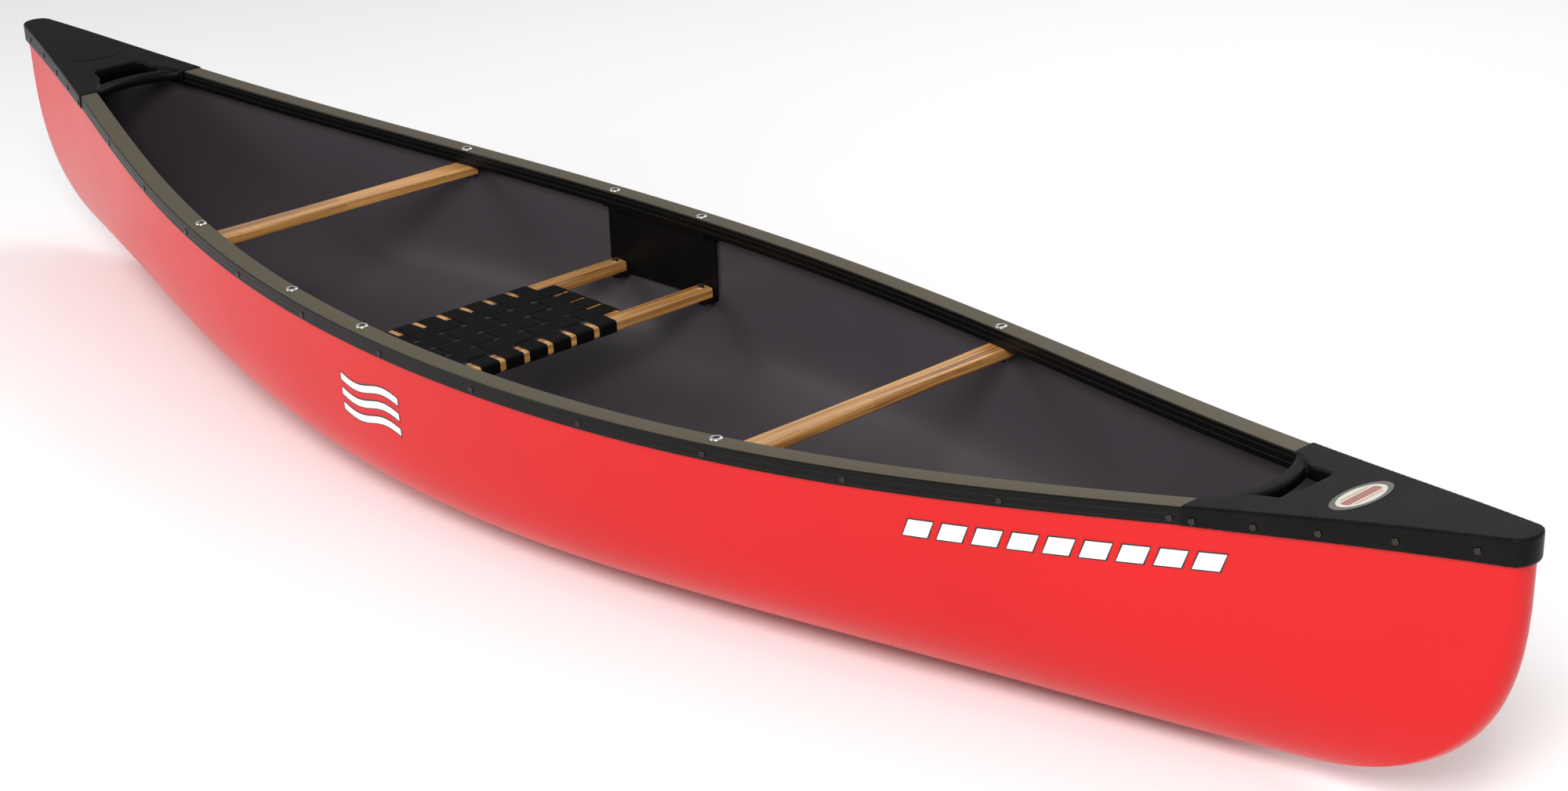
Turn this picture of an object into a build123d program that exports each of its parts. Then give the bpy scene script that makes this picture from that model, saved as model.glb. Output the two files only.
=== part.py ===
from build123d import *
import os
from math import cos, hypot, pi, sin, sqrt

# Solo canoe: a moulded polyethylene hull in three layers, with vinyl gunwales, moulded decks that
# carry the grab handles, two ash thwarts and a hung seat of ash and webbing.
# Millimetres. +X runs to the bow, +Y to port, +Z up. The keel is at Z = 0 amidships.

# --- Hull lines -------------------------------------------------------------------------------
LENGTH = 3580.0  # tip to tip, over the decks
BEAM = 757.8  # across the outside of the hull at its rim, amidships
DEPTH = 316.5  # keel to the top of the gunwale, amidships
END_RISE = 134.0  # how far the sheer climbs from the middle to a tip
KEEL_RISE = 22.8  # how far the keel climbs to the foot of a stem
STEM_REACH = 537.0  # length of the curved stem, from its foot to the tip
TIP_WIDTH = 40.6  # width across the hull just behind the rounded nose
NOSE_LENGTH = 14.0  # length of that rounded nose
KEEL_POWER = 2.22  # how late the keel begins to climb
STEM_POWER = 0.72  # roundness of the stem
BILGE_POWER = 0.663  # roundness of the turn from floor to side
SIDE_SWELL = 0.031  # swell of the side below the rim, as a share of the half beam
BREADTH_STATIONS = (0, 0.4, 0.65, 0.85)  # places along the half length, with the share of the beam
BREADTH_SHARES = (1, 0.8005, 0.5012, 0.2354)
SHEER_STATIONS = (0, 0.5, 0.8, 1)  # and with the share of END_RISE
SHEER_SHARES = (0, 0.2334, 0.6726, 1)
FULLNESS_STATIONS = (0, 0.45, 0.75, 1)  # a low power is a flat floor, a high one a vee
FULLNESS_POWERS = (0.368, 0.537, 0.452, 0.413)

# --- Hull wall --------------------------------------------------------------------------------
OUTER_SKIN = 2.0
FOAM_CORE = 3.0
INNER_SKIN = 2.0
WALL = OUTER_SKIN + FOAM_CORE + INNER_SKIN
RIM_BAND = 36.0  # upright strip at the rim that the gunwale clamps
GRID_TOLERANCE = 0.05

# --- Gunwale ----------------------------------------------------------------------------------
FIT = 0.3  # clearance round anything that slides over something else
TOP_PLATE = 2.7  # gunwale plate over the rim of the hull
SKIRT_DEPTH = 25.6  # outer leg of the gunwale
SKIRT_WALL = 3.7
GUNWALE_WIDTH = 36.0
BOX_DEPTH = 28.0  # inner leg, a closed box
BOX_WALL = 2.2
INSERT_WALL = 1.6
INSERT_FIT = 0.2

# --- Decks ------------------------------------------------------------------------------------
DECK_LENGTH = 424.0  # tip to the aft face of the collars
DECK_PROUD = 2.3  # how far the deck stands over the gunwale
COLLAR_WALL = 2.3
COLLAR_LENGTH = 60.0
GUNWALE_INTO_DECK = 50.0
TIP_OVERHANG = 6.3  # deck edge beyond the hull
TIP_FIT = 0.6  # deck skirt from the outside of the hull
DECK_SKIRT_AT_COLLAR = 27.0
DECK_SKIRT_AT_TIP = 36.0
HAND_HOLE_AFT_WIDTH = 116.0
HAND_HOLE_FORE_WIDTH = 100.0
HAND_HOLE_FROM_COLLAR = 96.0  # aft face of the collars to the far side of the hand hole
HAND_HOLE_LENGTH = 40.0
HOLE_CORNER = 9.0
HOLE_LIP = 16.0
HOLE_LIP_WALL = 3.0
GRIP_WIDTH = 25.0
GRIP_THICKNESS = 21.0
GRIP_ROUNDING = 9.0
GRIP_FROM_COLLAR = 14.0  # ends of the grip, from the aft face of the collars
GRIP_BOW = 29.0  # how far the grip curves towards the tip
BADGE_LENGTH = 114.0  # across the boat
BADGE_WIDTH = 54.0
BADGE_THICKNESS = 1.2
BADGE_RECESS = 1.0
BADGE_FROM_TIP = 250.0

# --- Thwarts ----------------------------------------------------------------------------------
BOW_THWART_X = 668.0
STERN_THWART_X = -690.0
THWART_WIDTH = 44.0
THWART_WAIST = 37.0
THWART_THICKNESS = 19.0
THWART_ROUNDING = 5.0
END_GAP = 2.0  # between the end of a wooden bar and what it faces

# --- Seat -------------------------------------------------------------------------------------
SEAT_X = -213.0
SEAT_SHIFT = -28.0  # the woven panel sits this far off the middle, to starboard
SEAT_DROP = 129.0  # top of the seat bars below the gunwale
BAR_SPACING = 220.0  # between the middles of the front and rear bars
BAR_WIDTH = 34.0
BAR_THICKNESS = 20.0
BAR_ROUNDING = 4.0
STRAP_WIDTH = 38.0
STRAP_THICKNESS = 1.3
STRAP_GAP_LENGTHWISE = 12.0
STRAP_GAP_CROSSWISE = 8.0
LENGTHWISE_STRAPS = 7
CROSSWISE_STRAPS = 4
STRAP_TUCK = 26.0  # length of strap turned under a bar
STRAP_FIT = 0.2
STAPLE_WIRE = 1.2
STAPLE_WIDTH = 12.0
STAPLE_LEG = 8.0
DOWEL = 8.0
DOWEL_LENGTH = 50.0
DOWEL_SPACING = 16.0
RAIL_WIDTH = 36.0
HANGER_WALL = 3.0
HANGER_OUT = 8.2  # outer face of the hanger plate, outboard of its bolts
FLANGE_IN = 9.0  # inboard edge of the hanger's top flange, from its bolts
HANGER_MARGIN = 26.0  # hanger plate beyond its bolts, fore and aft
HANGER_FOOT = 50.0  # length of each foot along the boat
HANGER_FOOT_REACH = 34.0
SEAT_BOLT_FROM_END = 12.0

# --- Fasteners --------------------------------------------------------------------------------
BOLT = 6.0
BOLT_HOLE = BOLT + 0.4
BOLT_HEAD = BOLT + 5
BOLT_HEAD_HEIGHT = 3.0
BOLT_TAIL = 2.0  # thread past the nut
THREAD_FIT = 0.1
NUT_FIT = 0.1  # hanger nuts below the flange, clear of its slope
NUT = BOLT + 4  # across flats
NUT_HEIGHT = 7.0
FINISHING_WASHER = 20.0
FINISHING_WASHER_HEIGHT = 2.4
WASHER_SEAT = 0.05  # finishing washers above the sheer, clear of its curve
FLAT_WASHER = 13.0
FLAT_WASHER_THICKNESS = 1.2
RIVET = 4.8
RIVET_HOLE = RIVET + 0.2
RIVET_HEAD = RIVET + 5.2
RIVET_HEAD_HEIGHT = 1.8
HEAD_EDGE = 0.3  # upright edge left under the rounding of a bolt or rivet head
RIVET_BULB = 7.2  # upset tail behind the wall
RIVET_BULB_LENGTH = 3.0
RIVET_DROP = 16.8  # gunwale rivets below the sheer
DECK_RIVET_DROP = 18.4
RIVET_PITCH = 229.0
FIRST_RIVET_X = -1168.0
GUNWALE_RIVETS = 12
DECK_RIVETS_FROM_TIP = (409.0, 331.0, 250.0, 156.0, 59.0)

# --- Sizes that follow ------------------------------------------------------------------------
TIP_X = LENGTH / 2
HULL_TIP_X = TIP_X - TIP_OVERHANG - FIT
COLLAR_X = TIP_X - DECK_LENGTH
GUNWALE_END_X = COLLAR_X + GUNWALE_INTO_DECK
SKIRT_OUT = FIT + SKIRT_WALL  # outer face of the gunwale, from the outside of the hull
BOX_IN = GUNWALE_WIDTH - SKIRT_OUT  # inner face of the gunwale, from the outside of the hull
BOX_OUT = WALL + FIT  # outer face of the gunwale's box
BOLT_LINE = (BOX_IN + BOX_OUT) / 2
RIM_DROP = TOP_PLATE + FIT
NOSE_SHARE = 1 - NOSE_LENGTH / HULL_TIP_X
PORT = 1
STARBOARD = -1
STANDING = (Align.CENTER, Align.CENTER, Align.MIN)
HANGING = (Align.CENTER, Align.CENTER, Align.MAX)
HEADROOM = 2 * (DEPTH + END_RISE)  # taller than anything on the boat
MARGIN = 20.0
RIM_SPANS = 24


# --- Shape of the hull ------------------------------------------------------------------------
def even_curve(stations, values, s):
    """Smooth curve, the same fore and aft, through the values at the stations."""
    total = 0
    for station, value in zip(stations, values):
        weight = value
        for other in stations:
            if other != station:
                weight *= (s * s - other * other) / (station * station - other * other)
        total += weight
    return total


def nose(s):
    """Rounds the plan of the hull off at both tips."""
    past = max(0, (abs(s) - NOSE_SHARE) / (1 - NOSE_SHARE))
    return sqrt(max(0, 1 - past * past))


def half_breadth(s):
    """Half breadth of the rim at the share s of the half length, without the rounded nose."""
    shares = BREADTH_SHARES + (TIP_WIDTH / BEAM,)
    return BEAM / 2 * even_curve(BREADTH_STATIONS + (1,), shares, s)


def sheer(x):
    """Height of the top of the gunwale at station x."""
    return DEPTH + END_RISE * even_curve(SHEER_STATIONS, SHEER_SHARES, x / HULL_TIP_X)


def hull_point(s, angle, inset):
    """Point of the port side: angle 0 is the keel, pi / 2 the foot of the rim band."""
    rim_x = s * (HULL_TIP_X - inset)
    fullness = even_curve(FULLNESS_STATIONS, FULLNESS_POWERS, s)
    floor = KEEL_RISE * abs(s) ** KEEL_POWER + inset
    top = sheer(rim_x) - RIM_DROP - RIM_BAND
    swell = 1 + SIDE_SWELL * sin(2 * angle) ** 2 * (1 - s * s)
    rim_y = half_breadth(rim_x / HULL_TIP_X) - inset * hypot(1, rim_slope(rim_x))
    x = rim_x - s * STEM_REACH * (1 - sin(angle) ** STEM_POWER)
    y = rim_y * sin(angle) ** fullness * swell * nose(s)
    z = floor + (top - floor) * (1 - max(0, cos(angle)) ** BILGE_POWER)
    return Vector(x, y, z)


def hull_stations():
    """Shares of the half length, close together where the ends curve most."""
    body = [NOSE_SHARE * sin(pi / 2 * i / 30) for i in range(31)]
    tip = [NOSE_SHARE + (1 - NOSE_SHARE) * sin(pi / 2 * i / 6) for i in range(1, 7)]
    half = body + tip
    return [-s for s in reversed(half[1:])] + half


def hull_side(inset, side):
    """One side of the hull surface, from the keel up to the rim."""
    angles = [pi / 2 * (i / 26) ** 1.6 for i in range(27)]
    points = [[hull_point(s, angle, inset) for angle in angles] for s in hull_stations()]
    shell = Face.make_surface_from_array_of_points(points, tol=GRID_TOLERANCE, min_deg=3, max_deg=3)
    band_foot = shell.edges().sort_by(SortBy.LENGTH)[-1]
    band = Face.extrude(band_foot, (0, 0, RIM_BAND))
    rim = band.edges().sort_by(SortBy.LENGTH)[-2:].sort_by(Axis.Z)[-1]
    if side == STARBOARD:
        shell, band, rim = shell.mirror(Plane.XZ), band.mirror(Plane.XZ), rim.mirror(Plane.XZ)
    return shell, band, rim


def hull_layer(outside, inside):
    """Closed layer between two depths below the outside of the hull."""
    faces = []
    for side in (PORT, STARBOARD):
        outer_shell, outer_band, outer_rim = hull_side(outside, side)
        inner_shell, inner_band, inner_rim = hull_side(inside, side)
        cap = Face.make_surface_from_curves(outer_rim, inner_rim)
        faces += [outer_shell, outer_band, inner_shell, inner_band, cap]
    return Solid(Shell(faces))


# --- Lines along the rim ----------------------------------------------------------------------
def rim_slope(x):
    """Slope of the rim in plan, port side."""
    step = 0.1
    ahead, behind = half_breadth((x + step) / HULL_TIP_X), half_breadth((x - step) / HULL_TIP_X)
    return (ahead - behind) / (2 * step)


def rim_point(x, outboard, side=PORT, above=0.0):
    """Point square off the rim at station x, this far outboard of the outside of the hull."""
    slope = rim_slope(x)
    along = outboard / hypot(1, slope)
    spot_x = x - slope * along
    return Vector(spot_x, side * (half_breadth(x / HULL_TIP_X) + along), sheer(spot_x) + above)


def rim_station(spot_x, outboard):
    """Station whose square line passes through spot_x at this distance outboard."""
    x = spot_x
    for _ in range(8):
        x += spot_x - rim_point(x, outboard).X
    return x


def rim_plane(x, side, outboard, below):
    """Plane on the line along the rim, looking straight outboard, with its Y up."""
    spot = rim_point(x, outboard, side, -below)
    outward = rim_point(x, outboard + 1, side, -below) - spot
    outward = Vector(outward.X, outward.Y, 0).normalized()
    return Plane(origin=spot, x_dir=Vector(0, 0, 1).cross(outward), z_dir=outward)


def outline(u, outboard):
    """Point of the deck's plan outline: u from 0 amidships to 1 at the nose, to 2 at the tip."""
    def on_hull(t):
        turn = pi / 2 * max(0, t - 1)
        s = NOSE_SHARE * t if t <= 1 else NOSE_SHARE + (1 - NOSE_SHARE) * sin(turn)
        return s * HULL_TIP_X, half_breadth(s) * cos(turn)

    step = 1e-4
    (x0, y0), (x1, y1) = on_hull(u - step), on_hull(u + step)
    run = hypot(x1 - x0, y1 - y0)
    x, y = on_hull(u)
    return x - (y1 - y0) / run * outboard, y + (x1 - x0) / run * outboard


def keep_between(top, bottom, aft, fore):
    """Cuts the part being built down to the band between two heights off the sheer."""
    stations = [aft + (fore - aft) * i / RIM_SPANS for i in range(RIM_SPANS + 1)]
    with BuildSketch(Plane.XZ.offset(-BEAM)) as view:
        with BuildLine():
            upper = Spline(*[(x, sheer(x) + top(x)) for x in stations])
            lower = Spline(*[(x, sheer(x) + bottom(x)) for x in stations])
            Line(upper @ 0, lower @ 0)
            Line(upper @ 1, lower @ 1)
        make_face()
    extrude(view.sketch, amount=2 * BEAM, mode=Mode.INTERSECT)


def rim_bar(inner, outer, top, bottom, aft, fore, side=PORT):
    """Bar that follows the rim between two distances outboard and two heights off the sheer."""
    stations = [aft + (fore - aft) * i / RIM_SPANS for i in range(RIM_SPANS + 1)]
    with BuildPart() as bar:
        with BuildSketch():
            with BuildLine():
                inside = Spline(*[(rim_point(x, inner).X, rim_point(x, inner).Y) for x in stations])
                outside = Spline(*[(rim_point(x, outer).X, rim_point(x, outer).Y) for x in stations])
                Line(inside @ 0, outside @ 0)
                Line(inside @ 1, outside @ 1)
            make_face()
            if side == STARBOARD:
                mirror(about=Plane.XZ, mode=Mode.REPLACE)
        extrude(amount=HEADROOM)
        keep_between(level(top), level(bottom), aft - MARGIN, fore + MARGIN)
    return bar.part


def tip_slab(outboard, top, bottom, aft):
    """Slab over the bow from station aft to the tip, between two heights off the sheer."""
    start = aft / HULL_TIP_X / NOSE_SHARE
    body = [outline(start + (1 - start) * i / 10, outboard) for i in range(11)]
    turn = [outline(1 + i / 4, outboard) for i in range(5)]
    before, after = outline(1 - 1e-3, outboard), outline(1, outboard)
    run_in = (after[0] - before[0], after[1] - before[1])
    with BuildPart() as slab:
        with BuildSketch():
            with BuildLine():
                side = Spline(*body)
                Spline(*turn, *[(x, -y) for x, y in reversed(turn[:-1])],
                       tangents=[run_in, (-run_in[0], run_in[1])])
                mirror(side, about=Plane.XZ)
                Line(side @ 0, (body[0][0], -body[0][1]))
            make_face()
        extrude(amount=HEADROOM)
        keep_between(top, bottom, aft - MARGIN, TIP_X + MARGIN)
    return slab.part


def level(height):
    """A height off the sheer that is the same at every station."""
    return lambda x: height


# --- Hull -------------------------------------------------------------------------------------
def gunwale_rivets(side):
    """Planes of the rivets through one gunwale, the two inside the collars among them."""
    planes = [rim_plane(x, side, SKIRT_OUT, RIVET_DROP) for x in gunwale_rivet_stations]
    return planes + collar_rivets(side)


def collar_rivets(side):
    """Planes of the rivets that hold a collar, the gunwale end and the hull together."""
    return [rim_plane(x, side, TIP_OVERHANG, DECK_RIVET_DROP)
            for station in deck_rivet_stations if station < GUNWALE_END_X
            for x in (station, -station)]


def tip_rivets(side):
    """Planes of the rivets that hold the deck skirts to the hull, beyond the gunwale."""
    return [rim_plane(x, side, TIP_OVERHANG, DECK_RIVET_DROP)
            for station in deck_rivet_stations if station > GUNWALE_END_X
            for x in (station, -station)]


gunwale_rivet_stations = [FIRST_RIVET_X + RIVET_PITCH * i for i in range(GUNWALE_RIVETS)]
deck_rivet_stations = [TIP_X - back for back in DECK_RIVETS_FROM_TIP]
rivet_planes = [plane for side in (PORT, STARBOARD) for plane in gunwale_rivets(side) + tip_rivets(side)]



def riveted_layer(outside, inside):
    """Layer of the hull wall between two depths, drilled for the rivets."""
    with BuildPart() as layer:
        add(hull_layer(outside, inside))
        with Locations(*rivet_planes):
            Cylinder(RIVET_HOLE / 2, 4 * WALL, mode=Mode.SUBTRACT)
    return layer.part


hull_outer_skin = riveted_layer(0, OUTER_SKIN)
hull_foam_core = riveted_layer(OUTER_SKIN, OUTER_SKIN + FOAM_CORE)
hull_inner_skin = riveted_layer(OUTER_SKIN + FOAM_CORE, WALL)


# --- Gunwales ---------------------------------------------------------------------------------
def bolt_plane(x, side, below):
    """Plane on the line of the gunwale bolts at station x, square to the sheer."""
    spot = rim_point(rim_station(x, -BOLT_LINE), -BOLT_LINE, side)
    climb = (sheer(x + 1) - sheer(x - 1)) / 2
    return Plane(origin=spot, x_dir=(1, 0, climb), z_dir=(-climb, 0, 1)).offset(-below)


def gunwale_bolts(side, below):
    """Planes of the four bolts of one gunwale."""
    return [bolt_plane(x, side, below) for x in BOLT_STATIONS]


def gunwale(side):
    """Vinyl gunwale: a top plate, an outer skirt and a boxed inner leg over the rim."""
    ends = (-GUNWALE_END_X, GUNWALE_END_X)
    past = (-GUNWALE_END_X - MARGIN / 2, GUNWALE_END_X + MARGIN / 2)
    blank = rim_bar(-BOX_IN, SKIRT_OUT, 0, -BOX_DEPTH, *ends, side)
    hull_slot = rim_bar(-BOX_OUT, FIT, -TOP_PLATE, -HEADROOM / 4, *past, side)
    under_skirt = rim_bar(0, 2 * SKIRT_OUT, -SKIRT_DEPTH, -HEADROOM / 4, *past, side)
    box_sides = (-BOX_IN + BOX_WALL, -BOX_OUT - BOX_WALL)
    bore = rim_bar(*box_sides, -TOP_PLATE, -BOX_DEPTH + BOX_WALL, *past, side)
    with BuildPart() as section:
        add(blank)
        for waste in (hull_slot, under_skirt, bore):
            add(waste, mode=Mode.SUBTRACT)
        with Locations(*gunwale_bolts(side, BOX_DEPTH / 2)):
            Cylinder(BOLT_HOLE / 2, 2 * BOX_DEPTH, mode=Mode.SUBTRACT)
        with Locations(*gunwale_rivets(side)):
            Cylinder(RIVET_HOLE / 2, 3 * RIVET_GRIP, mode=Mode.SUBTRACT)
    return section.part


def gunwale_insert(side):
    """Aluminium tube inside the gunwale's box."""
    ends = (-GUNWALE_END_X, GUNWALE_END_X)
    past = (-GUNWALE_END_X - MARGIN / 2, GUNWALE_END_X + MARGIN / 2)
    inner, outer = -BOX_IN + BOX_WALL + INSERT_FIT, -BOX_OUT - BOX_WALL - INSERT_FIT
    top, bottom = -TOP_PLATE - INSERT_FIT, -BOX_DEPTH + BOX_WALL + INSERT_FIT
    blank = rim_bar(inner, outer, top, bottom, *ends, side)
    bore = rim_bar(inner + INSERT_WALL, outer - INSERT_WALL, top - INSERT_WALL, bottom + INSERT_WALL,
                   *past, side)
    with BuildPart() as tube:
        add(blank)
        add(bore, mode=Mode.SUBTRACT)
        with Locations(*gunwale_bolts(side, BOX_DEPTH / 2)):
            Cylinder(BOLT_HOLE / 2, 2 * BOX_DEPTH, mode=Mode.SUBTRACT)
        with Locations(*gunwale_rivets(side)):
            Cylinder(RIVET_HOLE / 2, 3 * RIVET_GRIP, mode=Mode.SUBTRACT)
    return tube.part


BOLT_STATIONS = (STERN_THWART_X, SEAT_X - BAR_SPACING / 2, SEAT_X + BAR_SPACING / 2, BOW_THWART_X)
RIVET_GRIP = SKIRT_OUT + BOX_OUT + BOX_WALL + INSERT_FIT + INSERT_WALL  # what the rivet clamps

port_gunwale = gunwale(PORT)
starboard_gunwale = gunwale(STARBOARD)
port_insert = gunwale_insert(PORT)
starboard_insert = gunwale_insert(STARBOARD)

with BuildPart() as gunwale_port:
    add(port_gunwale)

with BuildPart() as gunwale_starboard:
    add(starboard_gunwale)

with BuildPart() as gunwale_insert_port:
    add(port_insert)

with BuildPart() as gunwale_insert_starboard:
    add(starboard_insert)


# --- Decks ------------------------------------------------------------------------------------
def deck_skirt(x):
    """Height of the deck skirt's lower edge off the sheer, deeper towards the tip."""
    share = (x - COLLAR_X) / DECK_LENGTH
    return -DECK_SKIRT_AT_COLLAR - (DECK_SKIRT_AT_TIP - DECK_SKIRT_AT_COLLAR) * share


def hand_hole_edges():
    """Plan of the opening between the collars, from port aft round the far side to starboard."""
    collar_face = rim_point(rim_station(COLLAR_X, -COLLAR_IN), -COLLAR_IN).Y
    fore = COLLAR_X + HAND_HOLE_FROM_COLLAR
    aft = fore - HAND_HOLE_LENGTH
    port = [(COLLAR_X - MARGIN, collar_face + MARGIN / 4), (COLLAR_X + MARGIN, collar_face - MARGIN / 2)]
    port += [(aft, HAND_HOLE_AFT_WIDTH / 2), (fore, HAND_HOLE_FORE_WIDTH / 2)]
    return port + [(x, -y) for x, y in reversed(port)]


def badge_plane():
    """Plane that lies on the deck where the badge sits, with its Y across the boat."""
    x = TIP_X - BADGE_FROM_TIP
    climb = (sheer(x + 1) - sheer(x - 1)) / 2
    return Plane(origin=(x, 0, sheer(x) + DECK_PROUD), x_dir=(1, 0, climb), z_dir=(-climb, 0, 1))


COLLAR_IN = BOX_IN + FIT + COLLAR_WALL
PAST_COLLAR = COLLAR_X - MARGIN
collar_end = COLLAR_X + COLLAR_LENGTH
deck_blank = tip_slab(TIP_OVERHANG, level(DECK_PROUD), deck_skirt, PAST_COLLAR)
deck_hollow = tip_slab(TIP_FIT, level(-TOP_PLATE), level(-HEADROOM / 4), PAST_COLLAR - MARGIN)
collar_bottom = -BOX_DEPTH - FIT - COLLAR_WALL
collars = [rim_bar(-COLLAR_IN, -BOX_OUT, 0, collar_bottom, PAST_COLLAR, collar_end, side)
           for side in (PORT, STARBOARD)]
sockets = [rim_bar(-BOX_IN - FIT, SKIRT_OUT + FIT, FIT, -BOX_DEPTH - FIT, PAST_COLLAR - MARGIN,
                   GUNWALE_END_X + FIT, side) for side in (PORT, STARBOARD)]
grip_end = COLLAR_X + GRIP_FROM_COLLAR
grip_height = sheer(COLLAR_X) + DECK_PROUD - GRIP_THICKNESS / 2
grip_reach = rim_point(rim_station(grip_end, -BOX_IN), -BOX_IN).Y + GRIP_ROUNDING

with BuildPart() as hand_hole:
    with BuildSketch():
        with BuildLine():
            Polyline(*hand_hole_edges(), close=True)
        make_face()
        fillet(vertices().group_by(Axis.X)[-1], HOLE_CORNER)
    extrude(amount=HEADROOM)

with BuildPart() as hole_lip:
    with BuildSketch():
        with BuildLine():
            Polyline(*hand_hole_edges(), close=True)
        make_face()
        fillet(vertices().group_by(Axis.X)[-1], HOLE_CORNER)
        offset(amount=HOLE_LIP_WALL)
    extrude(amount=HEADROOM)
    keep_between(level(0), level(-HOLE_LIP), PAST_COLLAR, collar_end + HAND_HOLE_FROM_COLLAR)

with BuildPart() as grip:
    with BuildLine():
        bar_line = ThreePointArc(
            (grip_end, -grip_reach, grip_height),
            (grip_end + GRIP_BOW, 0, grip_height),
            (grip_end, grip_reach, grip_height),
        )
    with BuildSketch(Plane(origin=bar_line @ 0, x_dir=(0, 0, 1), z_dir=bar_line % 0)):
        RectangleRounded(GRIP_THICKNESS, GRIP_WIDTH, GRIP_ROUNDING)
    sweep()

with BuildPart() as bow_deck:
    add(deck_blank)
    add(deck_hollow, mode=Mode.SUBTRACT)
    for collar in collars:
        add(collar)
    add(hole_lip)
    add(hand_hole, mode=Mode.SUBTRACT)
    add(grip)
    for socket in sockets:
        add(socket, mode=Mode.SUBTRACT)
    split(bisect_by=Plane.YZ.offset(COLLAR_X), keep=Keep.TOP)
    with BuildSketch(badge_plane().offset(BADGE_RECESS)):
        Ellipse(BADGE_WIDTH / 2, BADGE_LENGTH / 2)
    extrude(amount=-2 * BADGE_RECESS, mode=Mode.SUBTRACT)
    with Locations(*[rim_plane(x, side, TIP_OVERHANG, DECK_RIVET_DROP)
                     for x in deck_rivet_stations for side in (PORT, STARBOARD)]):
        Cylinder(RIVET_HOLE / 2, 2 * TIP_OVERHANG, mode=Mode.SUBTRACT)

with BuildPart() as stern_deck:
    add(bow_deck)
    mirror(about=Plane.YZ, mode=Mode.REPLACE)

with BuildPart() as bow_badge:
    with BuildSketch(badge_plane().offset(-BADGE_RECESS)):
        Ellipse(BADGE_WIDTH / 2 - FIT, BADGE_LENGTH / 2 - FIT)
    extrude(amount=BADGE_THICKNESS)

with BuildPart() as stern_badge:
    add(bow_badge)
    mirror(about=Plane.YZ, mode=Mode.REPLACE)


# --- Thwarts ----------------------------------------------------------------------------------
def thwart(x):
    """Ash bar under both gunwales, narrower in the middle, with rounded edges."""
    climb = (sheer(x + 1) - sheer(x - 1)) / 2
    seat_height = sheer(x) - BOX_DEPTH - FIT
    under_gunwale = Plane(origin=(x, 0, seat_height), x_dir=(1, 0, climb), z_dir=(-climb, 0, 1))
    far_corner = x + (THWART_WIDTH / 2 if x > 0 else -THWART_WIDTH / 2)
    reach = rim_point(rim_station(far_corner, -WALL), -WALL).Y - END_GAP
    half_width, half_waist = THWART_WIDTH / 2, THWART_WAIST / 2
    with BuildPart() as bar:
        with BuildSketch(under_gunwale):
            with BuildLine():
                fore = ThreePointArc((half_width, -reach), (half_waist, 0), (half_width, reach))
                aft = ThreePointArc((-half_width, -reach), (-half_waist, 0), (-half_width, reach))
                Line(fore @ 0, aft @ 0)
                Line(fore @ 1, aft @ 1)
            make_face()
        extrude(amount=-THWART_THICKNESS)
        long_edges = bar.edges().filter_by(GeomType.CIRCLE)
        fillet(long_edges, THWART_ROUNDING)
        with Locations(*[bolt_plane(x, side, BOX_DEPTH) for side in (PORT, STARBOARD)]):
            Cylinder(BOLT_HOLE / 2, 3 * THWART_THICKNESS, mode=Mode.SUBTRACT)
    return bar.part


bow_bar = thwart(BOW_THWART_X)
stern_bar = thwart(STERN_THWART_X)

with BuildPart() as bow_thwart:
    add(bow_bar)

with BuildPart() as stern_thwart:
    add(stern_bar)


# --- Seat frame -------------------------------------------------------------------------------
def bolt_chord(x):
    """Distance out to the straight line through the two seat bolts of the gunwale, at station x."""
    (aft_x, aft_y), (fore_x, fore_y) = HANGER_BOLTS
    return aft_y + (fore_y - aft_y) * (x - aft_x) / (fore_x - aft_x)


def bar_reach(x):
    """Half length of the seat bar at station x."""
    return bolt_chord(x) + HANGER_OUT - HANGER_WALL - END_GAP


def seat_bar(x):
    """Ash cross bar of the seat, hung at both ends."""
    with BuildPart(Plane((x, 0, SEAT_TOP - BAR_THICKNESS / 2))) as bar:
        Box(BAR_WIDTH, 2 * bar_reach(x), BAR_THICKNESS)
        fillet(bar.edges().filter_by(Axis.Y), BAR_ROUNDING)
    return bar.part


def seat_rail(side):
    """Side rail of the woven panel, let in between the cross bars."""
    with BuildPart(Plane((SEAT_X, rail_middle[side], SEAT_TOP - BAR_THICKNESS / 2))) as rail:
        Box(BAR_SPACING - BAR_WIDTH, RAIL_WIDTH, BAR_THICKNESS)
        fillet(rail.edges().filter_by(Axis.X), BAR_ROUNDING)
    return rail.part


HANGER_BOLTS = [(x, rim_point(rim_station(x, -BOLT_LINE), -BOLT_LINE).Y) for x in BOLT_STATIONS[1:3]]
SEAT_TOP = DEPTH - SEAT_DROP
SEAT_BOTTOM = SEAT_TOP - BAR_THICKNESS
BAR_STATIONS = BOLT_STATIONS[1:3]
LENGTHWISE_PITCH = STRAP_WIDTH + STRAP_GAP_LENGTHWISE
CROSSWISE_PITCH = STRAP_WIDTH + STRAP_GAP_CROSSWISE
panel_half = (LENGTHWISE_STRAPS * LENGTHWISE_PITCH - STRAP_GAP_LENGTHWISE) / 2 + END_GAP
rail_middle = {side: SEAT_SHIFT + side * (panel_half + RAIL_WIDTH / 2) for side in (PORT, STARBOARD)}
strap_rows = [SEAT_SHIFT + (i - (LENGTHWISE_STRAPS - 1) / 2) * LENGTHWISE_PITCH
              for i in range(LENGTHWISE_STRAPS)]
strap_columns = [SEAT_X + (i - (CROSSWISE_STRAPS - 1) / 2) * CROSSWISE_PITCH
                 for i in range(CROSSWISE_STRAPS)]

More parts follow.
